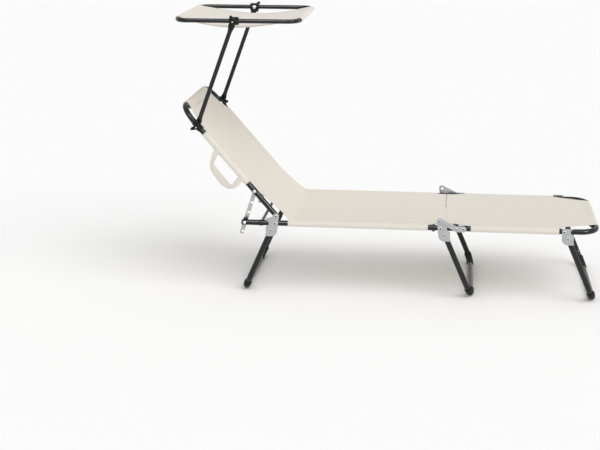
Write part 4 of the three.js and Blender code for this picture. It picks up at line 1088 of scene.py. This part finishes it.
def sheet_metal(name, colour, rough, spangle):
    """Zinc-coated steel: flat crystals of slightly different grey, uneven gloss and faint marks."""
    made, tree, shader = finish_named(name, colour, rough, 0.85)
    where = node(tree, "TexCoord").outputs["Object"]
    warped = node(tree, "MixRGB", {"Fac": 0.02, "Color1": where, "Color2": noise(tree, where, 60)})
    cells = node(tree, "TexVoronoi", {"Vector": warped.outputs["Color"], "Scale": spangle})
    grey = ramp(tree, cells.outputs["Color"], 0.0, 1.0, [c * 0.93 for c in colour],
                [min(1, c * 1.06) for c in colour])
    tree.links.new(grey, shader.inputs["Base Color"])
    dull = node(tree, "MapRange", {"Value": noise(tree, where, 140), "To Min": rough - 0.08,
                                   "To Max": rough + 0.14})
    tree.links.new(dull.outputs["Result"], shader.inputs["Roughness"])
    bump(tree, shader, noise(tree, where, 700, 2), 0.08, 0.0002)
    return made


enamel = painted("dark_enamel", srgb(22, 23, 24))
plastic = moulded("black_plastic", srgb(16, 16, 17), 0.42, 2200)
rubber = moulded("black_rubber", srgb(34, 34, 34), 0.78, 1500)
galvanised = sheet_metal("galvanised_plate", srgb(181, 182, 183), 0.4, 520)
zinc = sheet_metal("dull_zinc", srgb(186, 186, 185), 0.44, 620)
aged_zinc = sheet_metal("aged_zinc", srgb(128, 122, 112), 0.5, 500)
# A dark metal for the discs in the rivets' holes: painted shade.
hole_shade_metal = sheet_metal("dark_stem", srgb(38, 38, 40), 0.5, 900)
bright = sheet_metal("bright_bolt", srgb(222, 222, 220), 0.26, 900)

# %% [markdown]
# ### Woven cloth
# Plain weave is two sets of threads that pass over and under each other. Two sine waves along
# the map's directions make the threads. Their heights are added, and the set that is on top
# counts almost four times as much; which one it is changes with every thread, like a checker.

# %% Cloth finishes
def woven(name, colour, pitch, depth=0.5, sheen=0.25):
    """Weave height = (over + 0.35) * warp + (1.35 - over) * weft, with warp = |sin(pi v / pitch)|,
    weft = |sin(pi u / pitch)| and over = 1 where the two sines have the same sign, 0 elsewhere."""
    made, tree, shader = finish_named(name, colour, 0.92, 0.0, Sheen_Weight=sheen, Sheen_Roughness=0.5)
    shader.inputs["Specular IOR Level"].default_value = 0.25
    where = node(tree, "UVMap", uv_map="cloth").outputs["UV"]
    uv = node(tree, "SeparateXYZ", {"Vector": where})
    u, v = uv.outputs["X"], uv.outputs["Y"]

    def calc(kind, a, b=0.0):
        """One operation on one or two values."""
        return node(tree, "Math", {0: a, 1: b}, operation=kind).outputs["Value"]

    ru, rv = calc("MULTIPLY", u, np.pi / pitch), calc("MULTIPLY", v, np.pi / pitch)
    su, sv = calc("SINE", ru), calc("SINE", rv)
    weft, warp = calc("ABSOLUTE", su), calc("ABSOLUTE", sv)
    over = calc("GREATER_THAN", calc("MULTIPLY", su, sv), 0.0)
    under = calc("SUBTRACT", 1.0, over)
    height = calc("ADD", calc("MULTIPLY", calc("ADD", over, 0.35), warp),
                  calc("MULTIPLY", calc("ADD", under, 0.35), weft))
    slub = noise(tree, where, 700, 3, 0.6)
    cloud = noise(tree, where, 7, 4, 0.55)
    tone = ramp(tree, cloud, 0.3, 0.7, [c * 0.985 for c in colour], [min(1, c * 1.01) for c in colour])
    # Darker where the weave is low: painted shade in the hollows between the threads.
    threads = ramp(tree, height, 0.15, 1.2, (0.8, 0.79, 0.77), (1.0, 1.0, 1.0))
    slubs = ramp(tree, slub, 0.3, 0.7, (0.95, 0.945, 0.94), (1.0, 1.0, 1.0))
    first = node(tree, "MixRGB", {"Fac": 0.55, "Color1": tone, "Color2": threads}, blend_type="MULTIPLY")
    second = node(tree, "MixRGB", {"Fac": 0.8, "Color1": first.outputs["Color"], "Color2": slubs},
                  blend_type="MULTIPLY")
    tree.links.new(second.outputs["Color"], shader.inputs["Base Color"])
    bump(tree, shader, height, depth, 0.0003)
    return made


cream = woven("cream_canvas", srgb(233, 227, 216), 1.1 * mm)
canopy_finish = woven("canopy_canvas", srgb(236, 231, 222), 1.1 * mm)
band = woven("cream_webbing", srgb(230, 225, 215), 1.9 * mm, 0.8)


def plain_thread(name, colour):
    """Sewing thread: matt, with a fine change of tone."""
    made, tree, shader = finish_named(name, colour, 0.7)
    where = node(tree, "TexCoord").outputs["Object"]
    tree.links.new(ramp(tree, noise(tree, where, 1500), 0.3, 0.7, [c * 0.9 for c in colour], colour),
                   shader.inputs["Base Color"])
    return made


def canvas_edge(name, colour):
    """The same canvas on a rolled hem, where no map is laid: a fine grain from Object coordinates."""
    made, tree, shader = finish_named(name, colour, 0.92, 0.0, Sheen_Weight=0.2)
    where = node(tree, "TexCoord").outputs["Object"]
    fine = noise(tree, where, 1100, 3, 0.6)
    tree.links.new(ramp(tree, fine, 0.3, 0.7, [c * 0.88 for c in colour], colour),
                   shader.inputs["Base Color"])
    bump(tree, shader, fine, 0.3, 0.0003)
    return made


thread = plain_thread("cream_thread", srgb(222, 214, 200))
hem_finish = canvas_edge("hem_canvas", srgb(231, 225, 214))

# %% Dress every piece
def dress(pieces, finish):
    """One finish and one slot for all these pieces."""
    for piece in pieces:
        piece.data.materials.clear()
        piece.data.materials.append(finish)


dress(paint_pieces, enamel)
dress(rubber_pieces, rubber)
dress(plastic_pieces, plastic)
dress(steel_pieces, bright)
dress(zinc_pieces, aged_zinc)
dress(zinc_bars, zinc)
dress(plates, galvanised)
dress(rivet_pieces, bright)
dress(hole_shade_discs, hole_shade_metal)
dress([body_cloth, foot_cloth], cream)
dress([canopy_cloth], canopy_finish)
dress([hem_body, hem_foot], hem_finish)
dress([hem_canopy], hem_finish)
dress(thread_pieces, thread)
dress([handle], band)

print("packed nodes still showing:", [n for n, piece in frame["nodes"].items() if not piece.hide_render])

# %% [markdown]
# ## Studio
# The photograph is a product cut-out: even light, a white ground and no horizon. A white dome
# gives most of the light, and a very wide soft sun from above and in front adds the gentle
# shading and the contact shadow. Both reach all of the floor alike, so it stays one tone, and
# the dome is seen in that same tone above it. Two more suns are seen only in gloss, and draw the
# light lines along the tubes.

# %% Floor, light and camera
dome, sun_power, floor_tone = 0.7, 1.19, 0.978

bpy.ops.mesh.primitive_plane_add(size=120, location=(0, 0, -0.0005))
floor = bpy.context.object
floor.name = "floor"
ground, tree, shader = finish_named("pale_floor", (floor_tone,) * 3, 0.95)
shader.inputs["Specular IOR Level"].default_value = 0.1
grain = noise(tree, node(tree, "TexCoord").outputs["Object"], 3, 2)
tree.links.new(ramp(tree, grain, 0, 1, (floor_tone - 0.004,) * 3, (floor_tone + 0.004,) * 3),
               shader.inputs["Base Color"])
floor.data.materials.append(ground)

world = bpy.data.worlds.new("studio")
bpy.context.scene.world = world
world.use_nodes = True
tree = world.node_tree
back = tree.nodes["Background"]
back.inputs["Color"].default_value = (1, 1, 1, 1)
path = node(tree, "LightPath")
strength = node(tree, "MapRange", {"Value": path.outputs["Is Camera Ray"], "To Min": dome,
                                   "To Max": 0.965})
tree.links.new(strength.outputs["Result"], back.inputs["Strength"])


def sun_lamp(name, power, width, rotation):
    """A sun that is softened over a width in degrees."""
    lamp = bpy.data.objects.new(name, bpy.data.lights.new(name, "SUN"))
    lamp.data.energy, lamp.data.angle = power, np.radians(width)
    lamp.rotation_euler = rotation
    bpy.context.scene.collection.objects.link(lamp)
    return lamp


sun_lamp("soft_sun", sun_power, 50, (np.radians(26), np.radians(31), 0))
# A tube mirrors a lamp along one line, where its normal halves the angle to the camera. The
# first direction does that for the level rails, the second for the tubes of the back.
for kind, toward in (("rail", (-0.107, -0.643, 0.758)), ("back", (0.65, -0.643, 0.406))):
    lamp = sun_lamp(f"{kind}_gleam", 1.3, 12, Vector(toward).to_track_quat("Z", "Y").to_euler())
    lamp.visible_diffuse = False  # seen in gloss only: it adds highlights and no diffuse light

scene = bpy.context.scene
scene.view_settings.view_transform = "Standard"
camera = bpy.data.objects.new("camera", bpy.data.cameras.new("camera"))
scene.collection.objects.link(camera)
camera.data.lens, camera.data.sensor_width = 81.0, 36
camera.location = (plate_x + 0.7115, -5.50, 1.69629)
camera.rotation_euler = (np.radians(90 - 14.99), 0, np.radians(6.67))
camera.data.clip_end = 200
scene.camera = camera
